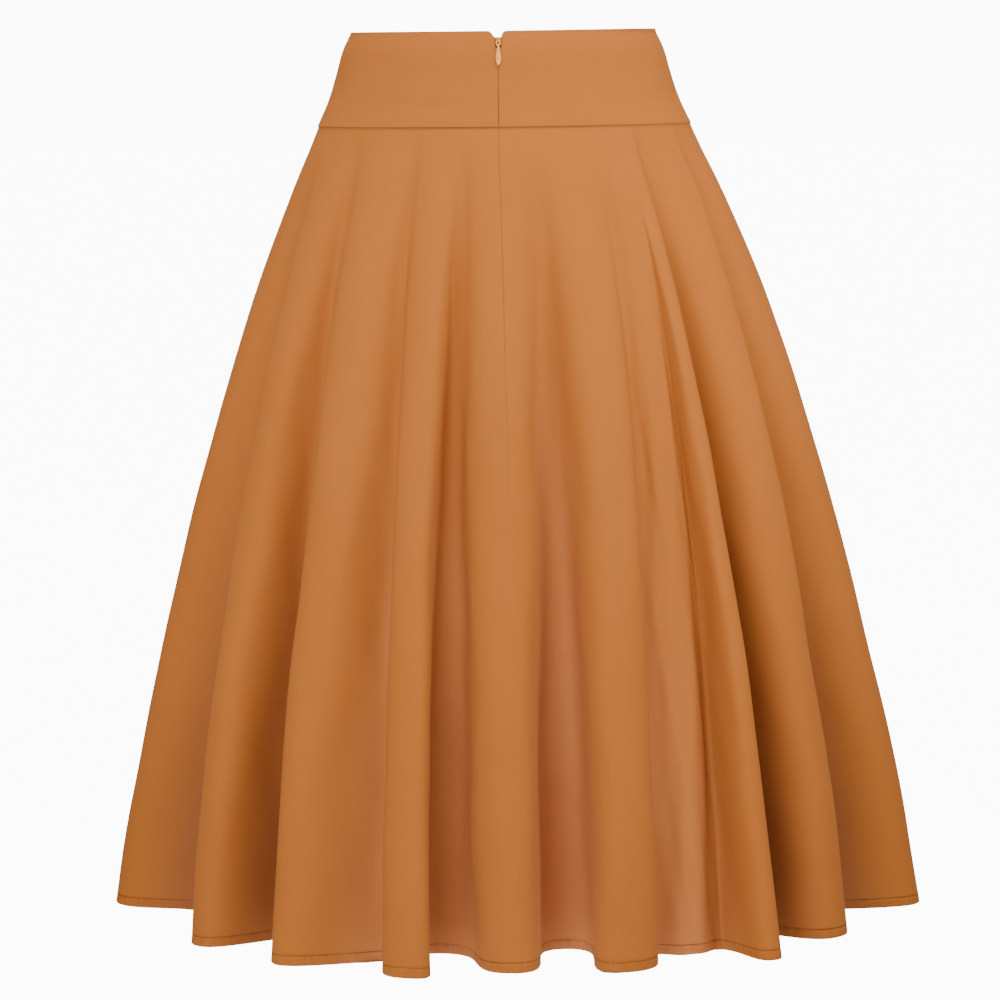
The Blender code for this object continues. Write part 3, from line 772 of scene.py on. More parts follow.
def coil_tree():
    """The zip's coil: a flat loop of wire for each turn along a path."""
    nodes, given = new_tree("zip coil", (("Pitch", "Float"), ("Width", "Float"), ("Depth", "Float"),
                                         ("Wire", "Float"), ("Finish", "Material")))
    ring = nodes.add("GeometryNodeCurvePrimitiveCircle", {}, {"Resolution": 12, "Radius": 0.5})
    size = nodes.add("ShaderNodeCombineXYZ", {}, {"X": given["Depth"], "Y": given["Width"], "Z": 1.0})
    oval = nodes.add("GeometryNodeTransform", {}, {"Geometry": ring["Curve"], "Scale": size["Vector"]})
    upright = nodes.add("GeometryNodeTransform", {}, {"Geometry": oval["Geometry"],
                                                      "Rotation": (0.0, math.radians(78), 0.0)})
    wire = nodes.add("GeometryNodeCurvePrimitiveCircle", {}, {"Resolution": 5, "Radius": given["Wire"]})
    turn = nodes.add("GeometryNodeCurveToMesh", {}, {"Curve": upright["Geometry"],
                                                     "Profile Curve": wire["Curve"], "Scale": 0.5})
    row = along_path(nodes, given, given["Pitch"], turn["Mesh"], (1.0, 1.0, 1.0))
    return end_tree(nodes, row, given["Finish"])


def made_along(name, path, outward, tree, values):
    """Runs a tree along a path of points and keeps its result as a plain mesh."""
    mesh = bpy.data.meshes.new(name)
    mesh.from_pydata(path.tolist(), [(i, i + 1) for i in range(len(path) - 1)], [])
    mesh.attributes.new("outward", "FLOAT_VECTOR", "POINT").data.foreach_set(
        "vector", outward.astype(np.float32).reshape(-1))
    made = add_object(name, mesh, None)
    modifier = made.modifiers.new(tree.name, "NODES")
    modifier.node_group = tree
    for item in tree.interface.items_tree:
        if item.in_out == "INPUT" and item.name in values:
            modifier[item.identifier] = values[item.name]
    return plain_mesh(made)


# ---------------------------------------------------------------- the flared panels
Panel = namedtuple("Panel", "name first last flat area")
PANELS = (
    Panel("skirt_back_left", LEFT_SEAM_U, BACK_SEAM_U, (0.858, 0.67), 0.355),
    Panel("skirt_back_right", BACK_SEAM_U, RIGHT_SEAM_U, (0.898, 0.67), 0.367),
    Panel("skirt_front", RIGHT_SEAM_U, FOLD_COUNT + LEFT_SEAM_U, (1.320, 0.66), 0.542),
)
SEAM_SHADE = 0.0004        # how wide the painted shade beside a seam is
SEAM_FADING, SEAM_FADE_DROPS = 0.85, (0.16, 0.40)    # seams sink into the cloth lower down
COLUMNS_PER_FOLD = 36
ROW_STEP = 0.0048
# Distances of the first columns from a seam, and of the rows from the waist seam, stitches and hem.
SEAM_STEPS = (0.0, 0.0001, 0.0003, 0.0005, 0.0008, 0.0016, 0.0032, 0.0060, 0.0095, 0.0115, 0.0125, 0.0150)
SEAM_ROW = 3               # the row just below the waist seam
TOP_STEPS = (-0.0003, 0.0, 0.0003, 0.0007, 0.0014, 0.0025)
STITCH_STEPS = (0.0006, 0.0003, 0.0, -0.0003, -0.0006, -0.0012)
TURN_STEPS = (0.0045, 0.0025, 0.0010, 0.0004, 0.0)
HEM_ROWS = (0.0052, 0.0040, 0.0028, 0.0020)
ROUND_SHARES = (1.0, 0.75, 0.5, 0.25, 0.07, 0.0)     # rows on a rounded edge, in its radius
# How far the panels' top edge reaches up behind the band, how deep, and where it has come out again.
TUCK, TUCK_DEPTH, TUCK_END = 0.0007, 0.0006, 0.0004
STRIP_EDGE = 0.0004        # half the width over which a pressed seam edge ends
STRIP_TOP, BELOW_ZIP = (0.001, 0.004), (0.004, 0.010)    # it begins this far below the waist and the zip
TURN_EDGE = 0.0008         # the height over which the hem's turn-up ends
# Where the shading fields lie above the hem's edge.
STITCHED_REACH, PUCKER_MIDDLE, PUCKER_REACH = 0.0005, 0.0055, 0.0035


def seam_columns(first_metres, last_metres, first, last, count, steps_first, steps_last):
    """Places of the columns at each row: closer together beside the two seams."""
    near_first = first + steps_first / first_metres[:, None]
    near_last = last - steps_last[:, ::-1] / last_metres[:, None]
    share = np.linspace(0, 1, count)[None, 1:-1]
    middle = mix(near_first[:, -1:], near_last[:, :1], share)
    return np.concatenate((near_first, middle, near_last), axis=1)


def run_along(points):
    """Distance along each row of points from its first one."""
    steps = np.linalg.norm(np.diff(points, axis=1), axis=-1)
    return np.concatenate((np.zeros((len(points), 1)), np.cumsum(steps, axis=1)), axis=1)


def panel_drops(sizes, stitch_height):
    """Drops of a panel's rows: fine at the waist seam, the hem's fold and its stitches."""
    edge = (sizes.skirt_wall + sizes.hem_turn_wall) / 2
    top = TOP + np.array((-TUCK, *TOP_STEPS))
    foot = np.concatenate((sizes.hem_turn + np.array(TURN_STEPS), stitch_height + np.array(STITCH_STEPS),
                           HEM_ROWS, edge * np.array(ROUND_SHARES)))
    body_end = HEM - foot[0] - ROW_STEP / 2
    body = np.arange(top[-1] + ROW_STEP / 2, body_end, ROW_STEP)
    return np.concatenate((top, body, HEM - foot))


def flat_cut(points):
    """Each point's place in the panel's flat cut, which is a sector of a ring."""
    run = run_along(points)
    steps = np.linalg.norm(np.diff(points, axis=0), axis=-1).min(axis=1)
    fall = np.concatenate(((0.0,), np.cumsum(steps)))
    width_top, width_hem = run[SEAM_ROW, -1], run[-1, -1]
    angle = (width_hem - width_top) / fall[-1]
    radius = (width_top / angle + fall)[:, None]
    turn = (run / run[:, -1:] - 0.5) * angle
    return np.stack((radius * np.sin(turn), -radius * np.cos(turn)), -1)


def flared_panel(panel, sizes, stitch_height, finish):
    """One panel as a closed shell: its turned-up hem, pressed seam edges, folds and creases."""
    drops = panel_drops(sizes, stitch_height)[:, None]
    metres = [metres_per(skirt_outline, np.full(len(drops), u), drops[:, 0])
              for u in (panel.first, panel.last)]
    steps = np.tile(np.array(SEAM_STEPS), (len(drops), 1))
    count = round((panel.last - panel.first) * COLUMNS_PER_FOLD)
    u = seam_columns(*metres, panel.first, panel.last, count, steps, steps)
    drop = skirt_drop(u, drops)
    base = skirt_outline(u, drop)
    into = inward(skirt_outline, SKIRT, u, drop)
    run = run_along(base)
    left, right = run, run[:, -1:] - run
    to_seam = np.minimum(left, right)
    to_hem = HEM - drops
    turned = smooth_step(sizes.hem_turn + TURN_EDGE, sizes.hem_turn, to_hem)
    wall = sizes.skirt_wall + sizes.hem_turn_wall * turned
    hem_round = rounded(to_hem, (sizes.skirt_wall + sizes.hem_turn_wall) / 2)
    centre = right if panel.last == BACK_SEAM_U else left if panel.first == BACK_SEAM_U else None
    strip = 1 - smooth_step(sizes.allowance - STRIP_EDGE, sizes.allowance + STRIP_EDGE, to_seam)
    strip = strip * smooth_step(*STRIP_TOP, drops - TOP)
    if centre is not None:
        below_zip = smooth_step(*BELOW_ZIP, drops - ZIP_END)
        strip = strip * np.where(centre < run[:, -1:] / 2, below_zip, 1.0)
    wall = wall + sizes.allowance_wall * strip
    faded = 1 - SEAM_FADING * smooth_step(*SEAM_FADE_DROPS, drops)
    round_off = np.maximum(rounded(to_seam, sizes.seam_radius * faded), hem_round)
    tuck = TUCK_DEPTH * (1 - smooth_step(-TUCK, TUCK_END, drops - TOP))
    lift = skirt_lift(u, drop, stitch_height)
    outer = base + into * (round_off + tuck - lift)[..., None]
    inner_off = wall - np.minimum(hem_round, wall / 2)
    hem_edge = np.broadcast_to(to_hem <= 0, u.shape)
    inner_off = np.where(hem_edge, round_off, np.maximum(inner_off, round_off))
    inner = base + into * (inner_off + tuck - lift)[..., None]
    inner[hem_edge] = outer[hem_edge]
    # Shares of the painted fill light in the deep folds and of the painted shade in the side folds.
    deep, aside = painted_fold_light_and_shade(u, drop)
    # The seam field carries painted shade beside the seams.
    fields = {"seam": bell(to_seam, SEAM_SHADE) * faded, "deep": deep, "aside": aside,
              "stitched": np.broadcast_to(bell(to_hem - stitch_height, STITCHED_REACH), u.shape),
              "turn_up": np.broadcast_to(bell(to_hem - PUCKER_MIDDLE, PUCKER_REACH), u.shape)}
    return closed_shell(panel.name + "_cloth", outer, inner, flat_cut(base), fields, finish)


class SKIRT_OT_flared_panels(bpy.types.Operator):
    """Make the front and the two back panels with their folds, seams and turned-up hem"""
    bl_idname = "skirt.flared_panels"
    bl_label = "Flared Panels"
    bl_options = {"REGISTER", "UNDO"}

    def execute(self, context):
        scene = context.scene
        finish = cloth_finish("skirt cloth", scene.skirt_finishes, 0.62)
        for panel in PANELS:
            made = flared_panel(panel, scene.skirt_cloth, scene.skirt_stitches.height, finish)
            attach(made, "skirt")
            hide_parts(panel.name)
        return {"FINISHED"}


# ---------------------------------------------------------------- the hem's stitches
PATH_POINTS_PER_FOLD = 120
STITCH_MARGIN = 0.004      # of a fold, between the last stitch and a seam
THREAD_STANDS = 0.2        # of the thread's diameter, from the cloth to its middle


class SKIRT_OT_hem_stitches(bpy.types.Operator):
    """Sew the turned-up hem with a row of stitches round each panel"""
    bl_idname = "skirt.hem_stitches"
    bl_label = "Hem Stitches"
    bl_options = {"REGISTER", "UNDO"}

    def execute(self, context):
        sizes = context.scene.skirt_stitches
        tree = stitch_tree()
        finish = thread_finish(context.scene.skirt_finishes)
        for number, panel in enumerate(PANELS):
            count = round((panel.last - panel.first) * PATH_POINTS_PER_FOLD)
            u = np.linspace(panel.first + STITCH_MARGIN, panel.last - STITCH_MARGIN, count)
            drop = skirt_drop(u, np.full(u.shape, HEM - sizes.height))
            into = inward(skirt_outline, SKIRT, u, drop)
            lift = skirt_lift(u, drop, sizes.height)
            path = skirt_outline(u, drop) - into * (lift + sizes.thread * THREAD_STANDS)[..., None]
            name = panel.name.replace("skirt", "hem_stitches")
            made = made_along(name, path, -into, tree,
                              {"Pitch": sizes.pitch, "Length": sizes.length, "Thread": sizes.thread,
                               "Seed": sizes.seed + number, "Finish": finish})
            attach(made, "skirt")
        return {"FINISHED"}


# ---------------------------------------------------------------- the waistband
BandPiece = namedtuple("BandPiece", "name first last first_side last_side flat area")
BAND_PIECES = (
    BandPiece("waistband_back_left", -BAND_SIDE_DEG, BACK_SEAM_DEG, "", "left", (0.211, 0.079), 0.0149),
    BandPiece("waistband_back_right", BACK_SEAM_DEG, BAND_SIDE_DEG, "right", "", (0.221, 0.077), 0.0156),
    BandPiece("waistband_front", BAND_SIDE_DEG, 360 - BAND_SIDE_DEG, "", "", (0.408, 0.080), 0.0288),
)
DEGREES_PER_COLUMN = 1.5
BAND_ROW_STEP = 0.0016
BAND_SEAM_STEPS = (0.0, 0.00007, 0.00025, 0.0005, 0.0008, 0.0013, 0.0022, 0.0035, 0.0055, 0.0080,
                   0.0110, 0.0150)
BAND_EDGE_SHARES = (1.5, *ROUND_SHARES)
BAND_UNDER = 0.0003        # radius of the band's lower edge
BAND_CREASE_MARGIN = 0.006
BAND_SEAM_RADIUS = 0.0006
CORNER_RADIUS = 0.0024     # of the band's corners at the zip
CORNER_DIP, CORNER_REACH = 0.0002, 0.0080    # the top edge falls this far towards the zip, from there
CORNER_FADE = 0.0140       # the drop at which the corner's shape has faded out
FRONT_DIP, FRONT_FADE = 0.0030, 0.0500       # the front's top edge falls below the sides, down to a drop


def band_piece(piece, sizes, finish):
    """A piece of the doubled band, with rounded edges and its corners falling away at the zip."""
    edge = sizes.band_wall / 2
    top = np.array(BAND_EDGE_SHARES[::-1]) * edge
    foot = np.array(BAND_EDGE_SHARES) * BAND_UNDER
    body = np.arange(top[-1] + BAND_ROW_STEP / 2, BAND_HEIGHT - foot[0] - BAND_ROW_STEP / 3, BAND_ROW_STEP)
    drops = np.concatenate((top, body, BAND_HEIGHT - foot))[:, None]
    metres = [metres_per(band_outline, np.full(len(drops), angle), drops[:, 0])
              for angle in (piece.first, piece.last)]
    steps = []
    for side in (piece.first_side, piece.last_side):
        gap = between(NOTCH, drops, side) if side else 0.0
        steps.append(np.maximum(gap, 0.0) + np.array(BAND_SEAM_STEPS) * np.ones((len(drops), 1)))
    count = round((piece.last - piece.first) / DEGREES_PER_COLUMN)
    angle = seam_columns(*metres, piece.first, piece.last, count, *steps)
    run = run_along(band_outline(angle, drops))
    drop = drops * np.ones(angle.shape)
    for side, away in ((piece.first_side, run), (piece.last_side, run[:, -1:] - run)):
        if side:
            corner = rounded(away, CORNER_RADIUS) + CORNER_DIP * np.clip(1 - away / CORNER_REACH, 0, 1) ** 2
            drop = drop + corner * np.clip(1 - drops / CORNER_FADE, 0, 1) ** 2
    if not (piece.first_side or piece.last_side):
        dip = FRONT_DIP * np.sin(math.pi * run / run[:, -1:])
        drop = drop + dip * np.clip(1 - drops / FRONT_FADE, 0, 1) ** 2
    base = band_outline(angle, drop)
    into = inward(band_outline, BAND, angle, drop)
    to_seam = np.minimum(run, run[:, -1:] - run)
    to_top, to_foot = drops, BAND_HEIGHT - drops
    round_off = np.maximum(np.maximum(rounded(to_seam, BAND_SEAM_RADIUS), rounded(to_top, edge)),
                           rounded(to_foot, BAND_UNDER))
    lift = creased(BAND_CREASES, angle, drop, BAND_METRES, 360.0)
    lift = lift * smooth_step(0.0, BAND_CREASE_MARGIN, to_top) * smooth_step(0.0, BAND_CREASE_MARGIN, to_foot)
    outer = base + into * (round_off - lift)[..., None]
    inner_off = np.maximum(sizes.band_wall - rounded(to_top, edge) * np.ones(angle.shape), round_off)
    inner = base + into * (inner_off - lift)[..., None]
    inner[0] = outer[0]
    fields = {name: np.zeros(angle.shape) for name in ("deep", "aside", "stitched", "turn_up")}
    # Painted shade beside the band's seams and along its lower edge.
    fields["seam"] = bell(np.minimum(to_seam, to_foot), SEAM_SHADE)
    uv = np.stack((run - run[:, -1:] / 2, -drop), -1)
    return closed_shell(piece.name + "_cloth", outer, inner, uv, fields, finish)


class SKIRT_OT_waistband(bpy.types.Operator):
    """Make the front and the two back pieces of the wide waistband"""
    bl_idname = "skirt.waistband"
    bl_label = "Waistband"
    bl_options = {"REGISTER", "UNDO"}

    def execute(self, context):
        scene = context.scene
        finish = cloth_finish("waistband cloth", scene.skirt_finishes, 0.60)
        for piece in BAND_PIECES:
            made = band_piece(piece, scene.skirt_cloth, finish)
            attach(made, "skirt")
            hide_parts(piece.name)
        return {"FINISHED"}


# ---------------------------------------------------------------- the zip
TAPE_HALF_BAND_DEG, TAPE_HALF_FOLD = 4.65, 1.45 / 12    # half its width on the band and on the skirt
TAPE_HALF_WIDTH = 0.010    # the same in metres, for its rounded edges
TAPE_BEHIND_BAND, TAPE_BEHIND_SKIRT = 0.0005, 0.0003
TAPE_ROW_STEP = 0.003
TAPE_BAND_END, TAPE_SKIRT_START = (0.0720, 0.0725), (0.0748, 0.078)    # its rows beside the waist seam
TAPE_COLUMNS = 33
COIL_START_ROW = 3         # the tape's row where the coil begins, below its upper end


def tape_grid(sizes, cloth, share, depth):
    """Points of the tape at shares from its one side (-1) to the other (1), behind the cloth by a depth."""
    band_stop, band_end = TAPE_BAND_END
    skirt_start, skirt_next = TAPE_SKIRT_START
    on_band = np.append(np.arange(sizes.top, band_stop, TAPE_ROW_STEP), band_end)[:, None]
    on_skirt = np.array((skirt_start, *np.arange(skirt_next, ZIP_END, TAPE_ROW_STEP), ZIP_END))[:, None]
    angle = BACK_SEAM_DEG + TAPE_HALF_BAND_DEG * share[None, :] * np.ones(on_band.shape)
    upper = band_outline(angle, on_band)
    into = inward(band_outline, BAND, angle, on_band * np.ones(angle.shape))
    upper = upper + into * (cloth.band_wall + TAPE_BEHIND_BAND + depth)[..., None]
    u = BACK_SEAM_U + TAPE_HALF_FOLD * share[None, :] * np.ones(on_skirt.shape)
    lower = skirt_outline(u, on_skirt)
    into_skirt = inward(skirt_outline, SKIRT, u, on_skirt * np.ones(u.shape))
    lower = lower + into_skirt * (cloth.skirt_wall + TAPE_BEHIND_SKIRT + depth)[..., None]
    return np.concatenate((upper, lower)), np.concatenate((into, into_skirt))


class SKIRT_OT_zip_tape(bpy.types.Operator):
    """Make the closed zip's tape and coil on the inside"""
    bl_idname = "skirt.zip_tape"
    bl_label = "Zip Tape and Coil"
    bl_options = {"REGISTER", "UNDO"}

    def execute(self, context):
        scene = context.scene
        sizes, cloth = scene.skirt_zip, scene.skirt_cloth
        finish = tape_finish(scene.skirt_finishes)
        share = np.linspace(-1, 1, TAPE_COLUMNS)
        edge = rounded(np.minimum(share + 1, 1 - share) * TAPE_HALF_WIDTH, sizes.tape_wall / 2)
        front, into = tape_grid(sizes, cloth, share, edge)
        back, into = tape_grid(sizes, cloth, share, sizes.tape_wall - edge)
        back[:, [0, -1]] = front[:, [0, -1]]
        run = run_along(front)
        down = np.broadcast_to(front[:, :1, 2], run.shape)
        tape = closed_shell("zip_tape_cloth", front, back, np.stack((run, down), -1), {}, finish)
        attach(tape, "skirt")
        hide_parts("zip_tape")
        centre, into = tape_grid(sizes, cloth, np.zeros(1),
                                 np.full(1, sizes.tape_wall + sizes.coil_depth / 2))
        coil = made_along("zip_coil", centre[COIL_START_ROW:, 0], -into[COIL_START_ROW:, 0], coil_tree(),
                          {"Pitch": sizes.coil_pitch, "Width": sizes.coil_width, "Depth": sizes.coil_depth,
                           "Wire": sizes.coil_wire, "Finish": finish})
        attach(coil, "skirt")
        return {"FINISHED"}


# ---------------------------------------------------------------- slider and pull
PULL_AXIS_DROP, PULL_AXIS_STANDOFF = 0.0071, 0.0013
SLIDER_SETBACK, SLIDER_BEVEL = 0.0011, 0.0007
EYE_RADIUS, LOOP_THICKNESS, LOOP_WIDTH = 0.0010, 0.0005, 0.0009
LOOP_ROOT = 0.0005         # how far the loop's ends reach into the slider
RING_OUTER, RING_HOLE, RING_HALF_THICK = 0.0021, 0.0012, 0.00046
BAR_SIDES = 12
TIP_SETBACK = 0.00002
SQUARENESS = 0.6           # power that makes a round bar flatter
SLIDER_BARE, PULL_BARE = (0.50, 0.26, 0.12), (0.66, 0.36, 0.14)
Station = namedtuple("Station", "drop half_width half_thickness")
PULL_SHAPE = (
    Station(0.0029, 0.00060, 0.00035),
    Station(0.0038, 0.00078, 0.00045),
    Station(0.0055, 0.00102, 0.00055),
    Station(0.0080, 0.00148, 0.00068),
    Station(0.0110, 0.00198, 0.00085),
    Station(0.0138, 0.00212, 0.00090),
    Station(0.0162, 0.00178, 0.00080),
    Station(0.0182, 0.00115, 0.00058),
    Station(0.0191, 0.00065, 0.00036),
    Station(0.0195, 0.00005, 0.00004),
)


def pull_place(pull_length):
    """The pull's place and lean, as it hangs on the band."""
    angle = math.radians(BACK_SEAM_DEG)
    high, low = ((between(BAND, drop, "half_width") * math.sin(angle) + between(BAND, drop, "sway"),
                  -between(BAND, drop, "half_depth") * math.cos(angle))
                 for drop in np.array((PULL_AXIS_DROP, PULL_AXIS_DROP + pull_length)))
    lean = math.atan2(high[1] - low[1], pull_length)
    axis = Vector((high[0], high[1] - PULL_AXIS_STANDOFF, -PULL_AXIS_DROP))
    return Matrix.Translation(axis) @ Matrix.Rotation(-lean, 4, "X")


def lofted(rings, closed_along=False):
    """Faces through rings of points; a loft that doesn't close on itself gets two caps."""
    size, count = len(rings[0]), len(rings)
    faces = []
    for k in range(count if closed_along else count - 1):
        n = (k + 1) % count
        for i in range(size):
            j = (i + 1) % size
            faces.append((k * size + i, k * size + j, n * size + j, n * size + i))
    if not closed_along:
        faces += [tuple(range(size)), tuple(range((count - 1) * size, count * size))]
    return [p for ring in rings for p in ring], faces


def bmesh_object(name, parts, place, finish):
    """One smooth object from parts, each a list of points and faces, turned to point outwards."""
    shape = bmesh.new()
    for points, faces in parts:
        corners = [shape.verts.new(p) for p in points]
        for face in faces:
            shape.faces.new([corners[i] for i in face])
    bmesh.ops.recalc_face_normals(shape, faces=shape.faces)
    shape.transform(place)
    mesh = bpy.data.meshes.new(name)
    shape.to_mesh(mesh)
    shape.free()
    mesh.shade_smooth()
    mesh.set_sharp_from_angle(angle=SHARP_METAL)
    return add_object(name, mesh, finish)


def ring_part(sides=40):
    """The pull's ring: a round bar bent about Y, hanging from the axis."""
    radius, half_bar = (RING_OUTER + RING_HOLE) / 2, (RING_OUTER - RING_HOLE) / 2
    rings = []
    for k in range(sides):
        turn = 2 * math.pi * k / sides
        ring = []
        for i in range(BAR_SIDES):
            across = 2 * math.pi * i / BAR_SIDES
            reach = radius + half_bar * math.cos(across)
            ring.append(Vector((reach * math.sin(turn), RING_HALF_THICK * math.sin(across),
                                reach * math.cos(turn) - radius)))
        rings.append(ring)
    return lofted(rings, closed_along=True)


def drop_part(sides=28, steps=44):
    """The pull's solid drop shape, smooth from its neck to its tip."""
    drops = np.linspace(PULL_SHAPE[0].drop, PULL_SHAPE[-1].drop, steps)
    drops[-1] -= TIP_SETBACK
    wide, thick = (between(PULL_SHAPE, drops, name) for name in ("half_width", "half_thickness"))
    turns = [2 * math.pi * i / sides for i in range(sides)]
    return lofted([[Vector((w * math.cos(t), k * math.sin(t), -d)) for t in turns]
                   for d, w, k in zip(drops, wide, thick)])


def slider_part(sizes):
    """The slider's body, a box with rounded edges, its front face behind the pull's axis."""
    shape = bmesh.new()
    size = Matrix.Diagonal((sizes.slider_width, sizes.slider_depth, sizes.slider_height, 1.0))
    place = Matrix.Translation((0, SLIDER_SETBACK + sizes.slider_depth / 2, 0))
    bmesh.ops.create_cube(shape, size=1.0, matrix=place @ size)
    bmesh.ops.bevel(shape, geom=shape.edges[:], offset=SLIDER_BEVEL, segments=4, profile=0.5, affect="EDGES")
    shape.verts.index_update()
    part = [v.co.copy() for v in shape.verts], [[v.index for v in f.verts] for f in shape.faces]
    shape.free()
    return part


def loop_part(steps=20):
    """The slider's loop round the axis, a flat bar with softened edges."""
    root = SLIDER_SETBACK + LOOP_ROOT
    stations = [(root, 90.0), *((0.0, 90.0 + 180.0 * i / steps) for i in range(steps + 1)), (root, 270.0)]
    rings = []
    for back, turn in stations:
        toward = Vector((0, math.cos(math.radians(turn)), math.sin(math.radians(turn))))
        middle = toward * (EYE_RADIUS + LOOP_THICKNESS / 2) + Vector((0, back, 0))
        ring = []
        for i in range(BAR_SIDES):
            across = 2 * math.pi * (i + 0.5) / BAR_SIDES
            wide, thick = (math.copysign(abs(part) ** SQUARENESS, part)
                           for part in (math.cos(across), math.sin(across)))
            ring.append(middle + Vector((wide * LOOP_WIDTH / 2, 0, 0))
                        + toward * (thick * LOOP_THICKNESS / 2))
        rings.append(ring)
    return lofted(rings)


class SKIRT_OT_zip_slider(bpy.types.Operator):
    """Make the zip's slider with its loop"""
    bl_idname = "skirt.zip_slider"
    bl_label = "Zip Slider"
    bl_options = {"REGISTER", "UNDO"}

    def execute(self, context):
        sizes, finishes = context.scene.skirt_zip, context.scene.skirt_finishes
        finish = enamel_finish("slider enamel", finishes.slider, SLIDER_BARE, 0.40)
        parts = [slider_part(sizes), loop_part()]
        made = bmesh_object("zip_slider_body", parts, pull_place(sizes.pull_length), finish)
        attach(made, "skirt")
        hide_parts("zip_slider")
        return {"FINISHED"}


class SKIRT_OT_zip_pull(bpy.types.Operator):
    """Make the pull: a ring with a drop shape below it"""
    bl_idname = "skirt.zip_pull"
    bl_label = "Zip Pull"
    bl_options = {"REGISTER", "UNDO"}

    def execute(self, context):
        sizes, finishes = context.scene.skirt_zip, context.scene.skirt_finishes
        finish = enamel_finish("pull enamel", finishes.pull, PULL_BARE, 0.22)
        parts = [ring_part(), drop_part()]
        made = bmesh_object("zip_pull_drop", parts, pull_place(sizes.pull_length), finish)
        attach(made, "pull")
        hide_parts("zip_pull")
        return {"FINISHED"}


# ---------------------------------------------------------------- the studio
CAMERA_PLACE = Vector((-0.0057, -3.5, -0.0334))
CAMERA_PITCH_DEG = 5.575
CAMERA_ROLL_DEG = 0.5
FOCAL_PER_WIDTH = 4.354    # the focal length, in widths of the picture
SENSOR_MM = 36.0
MIDDLE = (0.0, 0.0, -0.36)
FLOOR_SIDES, FLOOR_COLOUR, WHITE = 64, (0.86, 0.86, 0.86), (1.0, 1.0, 1.0, 1.0)
Lamp = namedtuple("Lamp", "name place aim size power")
LAMPS = (
    Lamp("high left", (-0.72, -0.66, 2.46), MIDDLE, 1.3, 50.0),
    Lamp("high right", (0.79, -0.66, 2.46), MIDDLE, 1.3, 72.0),
    Lamp("front", (-0.85, -2.75, 0.05), MIDDLE, 1.3, 43.0),
    Lamp("left of the waist", (-0.62, -0.45, -0.02), (-0.17, -0.05, -0.16), 0.30, 1.6),
    Lamp("right of the waist", (0.62, -0.45, 0.02), (0.18, -0.05, -0.16), 0.30, 3.5),
)


def add_camera(scene):
    data = bpy.data.cameras.new("camera")
    data.sensor_width = SENSOR_MM
    data.lens = SENSOR_MM * FOCAL_PER_WIDTH
    camera = bpy.data.objects.new("camera", data)
    scene.collection.objects.link(camera)
    tilt = Matrix.Rotation(math.radians(90 - CAMERA_PITCH_DEG), 4, "X")
    roll = Matrix.Rotation(math.radians(-CAMERA_ROLL_DEG), 4, "Z")
    camera.matrix_world = Matrix.Translation(CAMERA_PLACE) @ tilt @ roll
    scene.camera = camera


def add_light(scene, lamp, share):
    """A soft square lamp, turned towards its aim; share dims or brightens all lamps alike."""
    data = bpy.data.lights.new(lamp.name, "AREA")
    data.shape = "SQUARE"
    data.size = lamp.size
    data.energy = lamp.power * share
    made = bpy.data.objects.new(lamp.name, data)
    made.location = lamp.place
    made.rotation_euler = (Vector(lamp.aim) - Vector(lamp.place)).to_track_quat("-Z", "Y").to_euler()
    scene.collection.objects.link(made)


def paper_seen(nodes, lit, seen):
    """Shows one shader to the camera and lights the room with the other."""
    path = nodes.add("ShaderNodeLightPath")
    return nodes.add("ShaderNodeMixShader", {}, {0: path["Is Camera Ray"], 1: lit, 2: seen})["Shader"]


def floor_finish(paper):
    """Pale matt floor that shows as white paper, with the skirt's own soft shade left on it."""
    floor = Finish("pale floor", roughness=0.9)
    grain = floor.noise(floor.objects_own(), 30.0, 2.0)
    floor.feed("Base Color", floor.tinted(FLOOR_COLOUR, 0.99 + grain * 0.02))
    glow = floor.add("ShaderNodeEmission", {}, {"Color": WHITE, "Strength": paper})
    lit = Value(floor, floor.shader.outputs[0])
    both = floor.add("ShaderNodeAddShader", {}, {0: lit, 1: glow["Emission"]})
    seen = paper_seen(floor, lit, both["Shader"])
    output = next(n for n in floor.tree.nodes if n.type == "OUTPUT_MATERIAL")
    floor.tree.links.new(seen.socket, output.inputs["Surface"])
    return floor.material


def add_world(scene, ambient, paper):
    """An even room light, and white paper where the camera looks past the skirt."""
    world = bpy.data.worlds.new("room")
    world.use_nodes = True
    nodes = Nodes(world.node_tree)
    world.node_tree.nodes.clear()
    lit = nodes.add("ShaderNodeBackground", {}, {"Color": WHITE, "Strength": ambient})
    seen = nodes.add("ShaderNodeBackground", {}, {"Color": WHITE, "Strength": paper})
    shown = paper_seen(nodes, lit["Background"], seen["Background"])
    nodes.add("ShaderNodeOutputWorld", {}, {"Surface": shown})
    scene.world = world


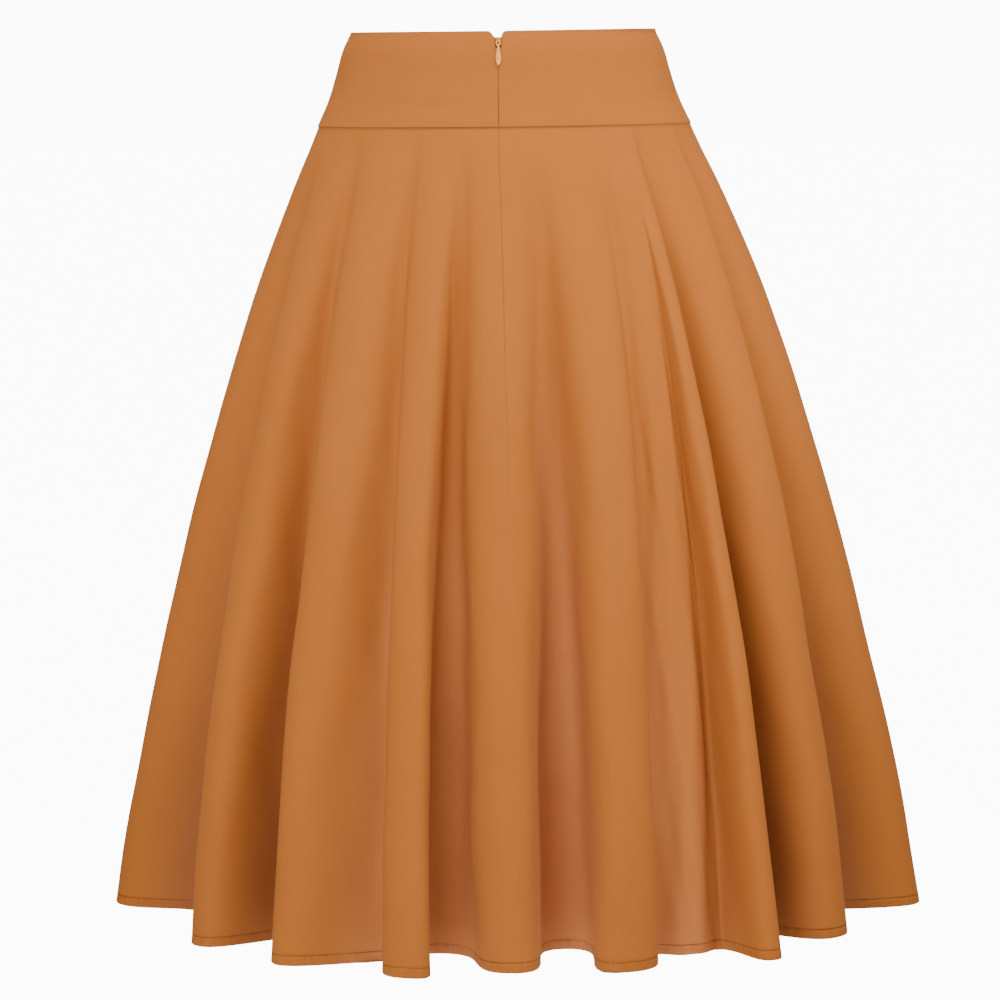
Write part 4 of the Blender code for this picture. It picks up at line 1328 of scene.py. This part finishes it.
class SKIRT_OT_studio(bpy.types.Operator):
    """Set up the pale floor, the soft lights, the room and the camera"""
    bl_idname = "skirt.studio"
    bl_label = "Studio"
    bl_options = {"REGISTER", "UNDO"}

    def execute(self, context):
        scene = context.scene
        studio = scene.skirt_studio
        shape = bmesh.new()
        bmesh.ops.create_circle(shape, cap_ends=True, segments=FLOOR_SIDES, radius=studio.floor_size,
                                matrix=Matrix.Translation((0, 0, -studio.waist_height)))
        mesh = bpy.data.meshes.new("floor")
        shape.to_mesh(mesh)
        shape.free()
        add_object("floor", mesh, floor_finish(studio.paper))
        add_world(scene, studio.ambient, studio.paper)
        for lamp in LAMPS:
            add_light(scene, lamp, studio.lamps)
        add_camera(scene)
        return {"FINISHED"}


# ---------------------------------------------------------------- the panel
STEPS = ("flared_panels", "hem_stitches", "waistband", "zip_tape", "zip_slider", "zip_pull", "studio")
GROUPS = {"skirt_cloth": SkirtClothSizes, "skirt_stitches": SkirtStitchSizes, "skirt_zip": SkirtZipSizes,
          "skirt_finishes": SkirtFinishes, "skirt_studio": SkirtStudioSizes}


class SKIRT_PT_sidebar(bpy.types.Panel):
    """Lists the skirt's sizes, colours and steps"""
    bl_idname = "SKIRT_PT_sidebar"
    bl_label = "Flared Midi Skirt"
    bl_space_type = "VIEW_3D"
    bl_region_type = "UI"
    bl_category = "Skirt"

    def draw(self, context):
        for name, group in GROUPS.items():
            box = self.layout.box()
            for key in group.__annotations__:
                box.prop(getattr(context.scene, name), key)
        for step in STEPS:
            self.layout.operator(f"skirt.{step}")


CLASSES = (*GROUPS.values(), SKIRT_OT_flared_panels, SKIRT_OT_hem_stitches, SKIRT_OT_waistband,
           SKIRT_OT_zip_tape, SKIRT_OT_zip_slider, SKIRT_OT_zip_pull, SKIRT_OT_studio, SKIRT_PT_sidebar)


def register():
    for each in CLASSES:
        bpy.utils.register_class(each)
    for name, group in GROUPS.items():
        setattr(bpy.types.Scene, name, PointerProperty(type=group))


def unregister():
    for name in GROUPS:
        delattr(bpy.types.Scene, name)
    for each in reversed(CLASSES):
        bpy.utils.unregister_class(each)


def main():
    register()
    for step in STEPS:
        getattr(bpy.ops.skirt, step)()


if __name__ == "__main__":
    main()
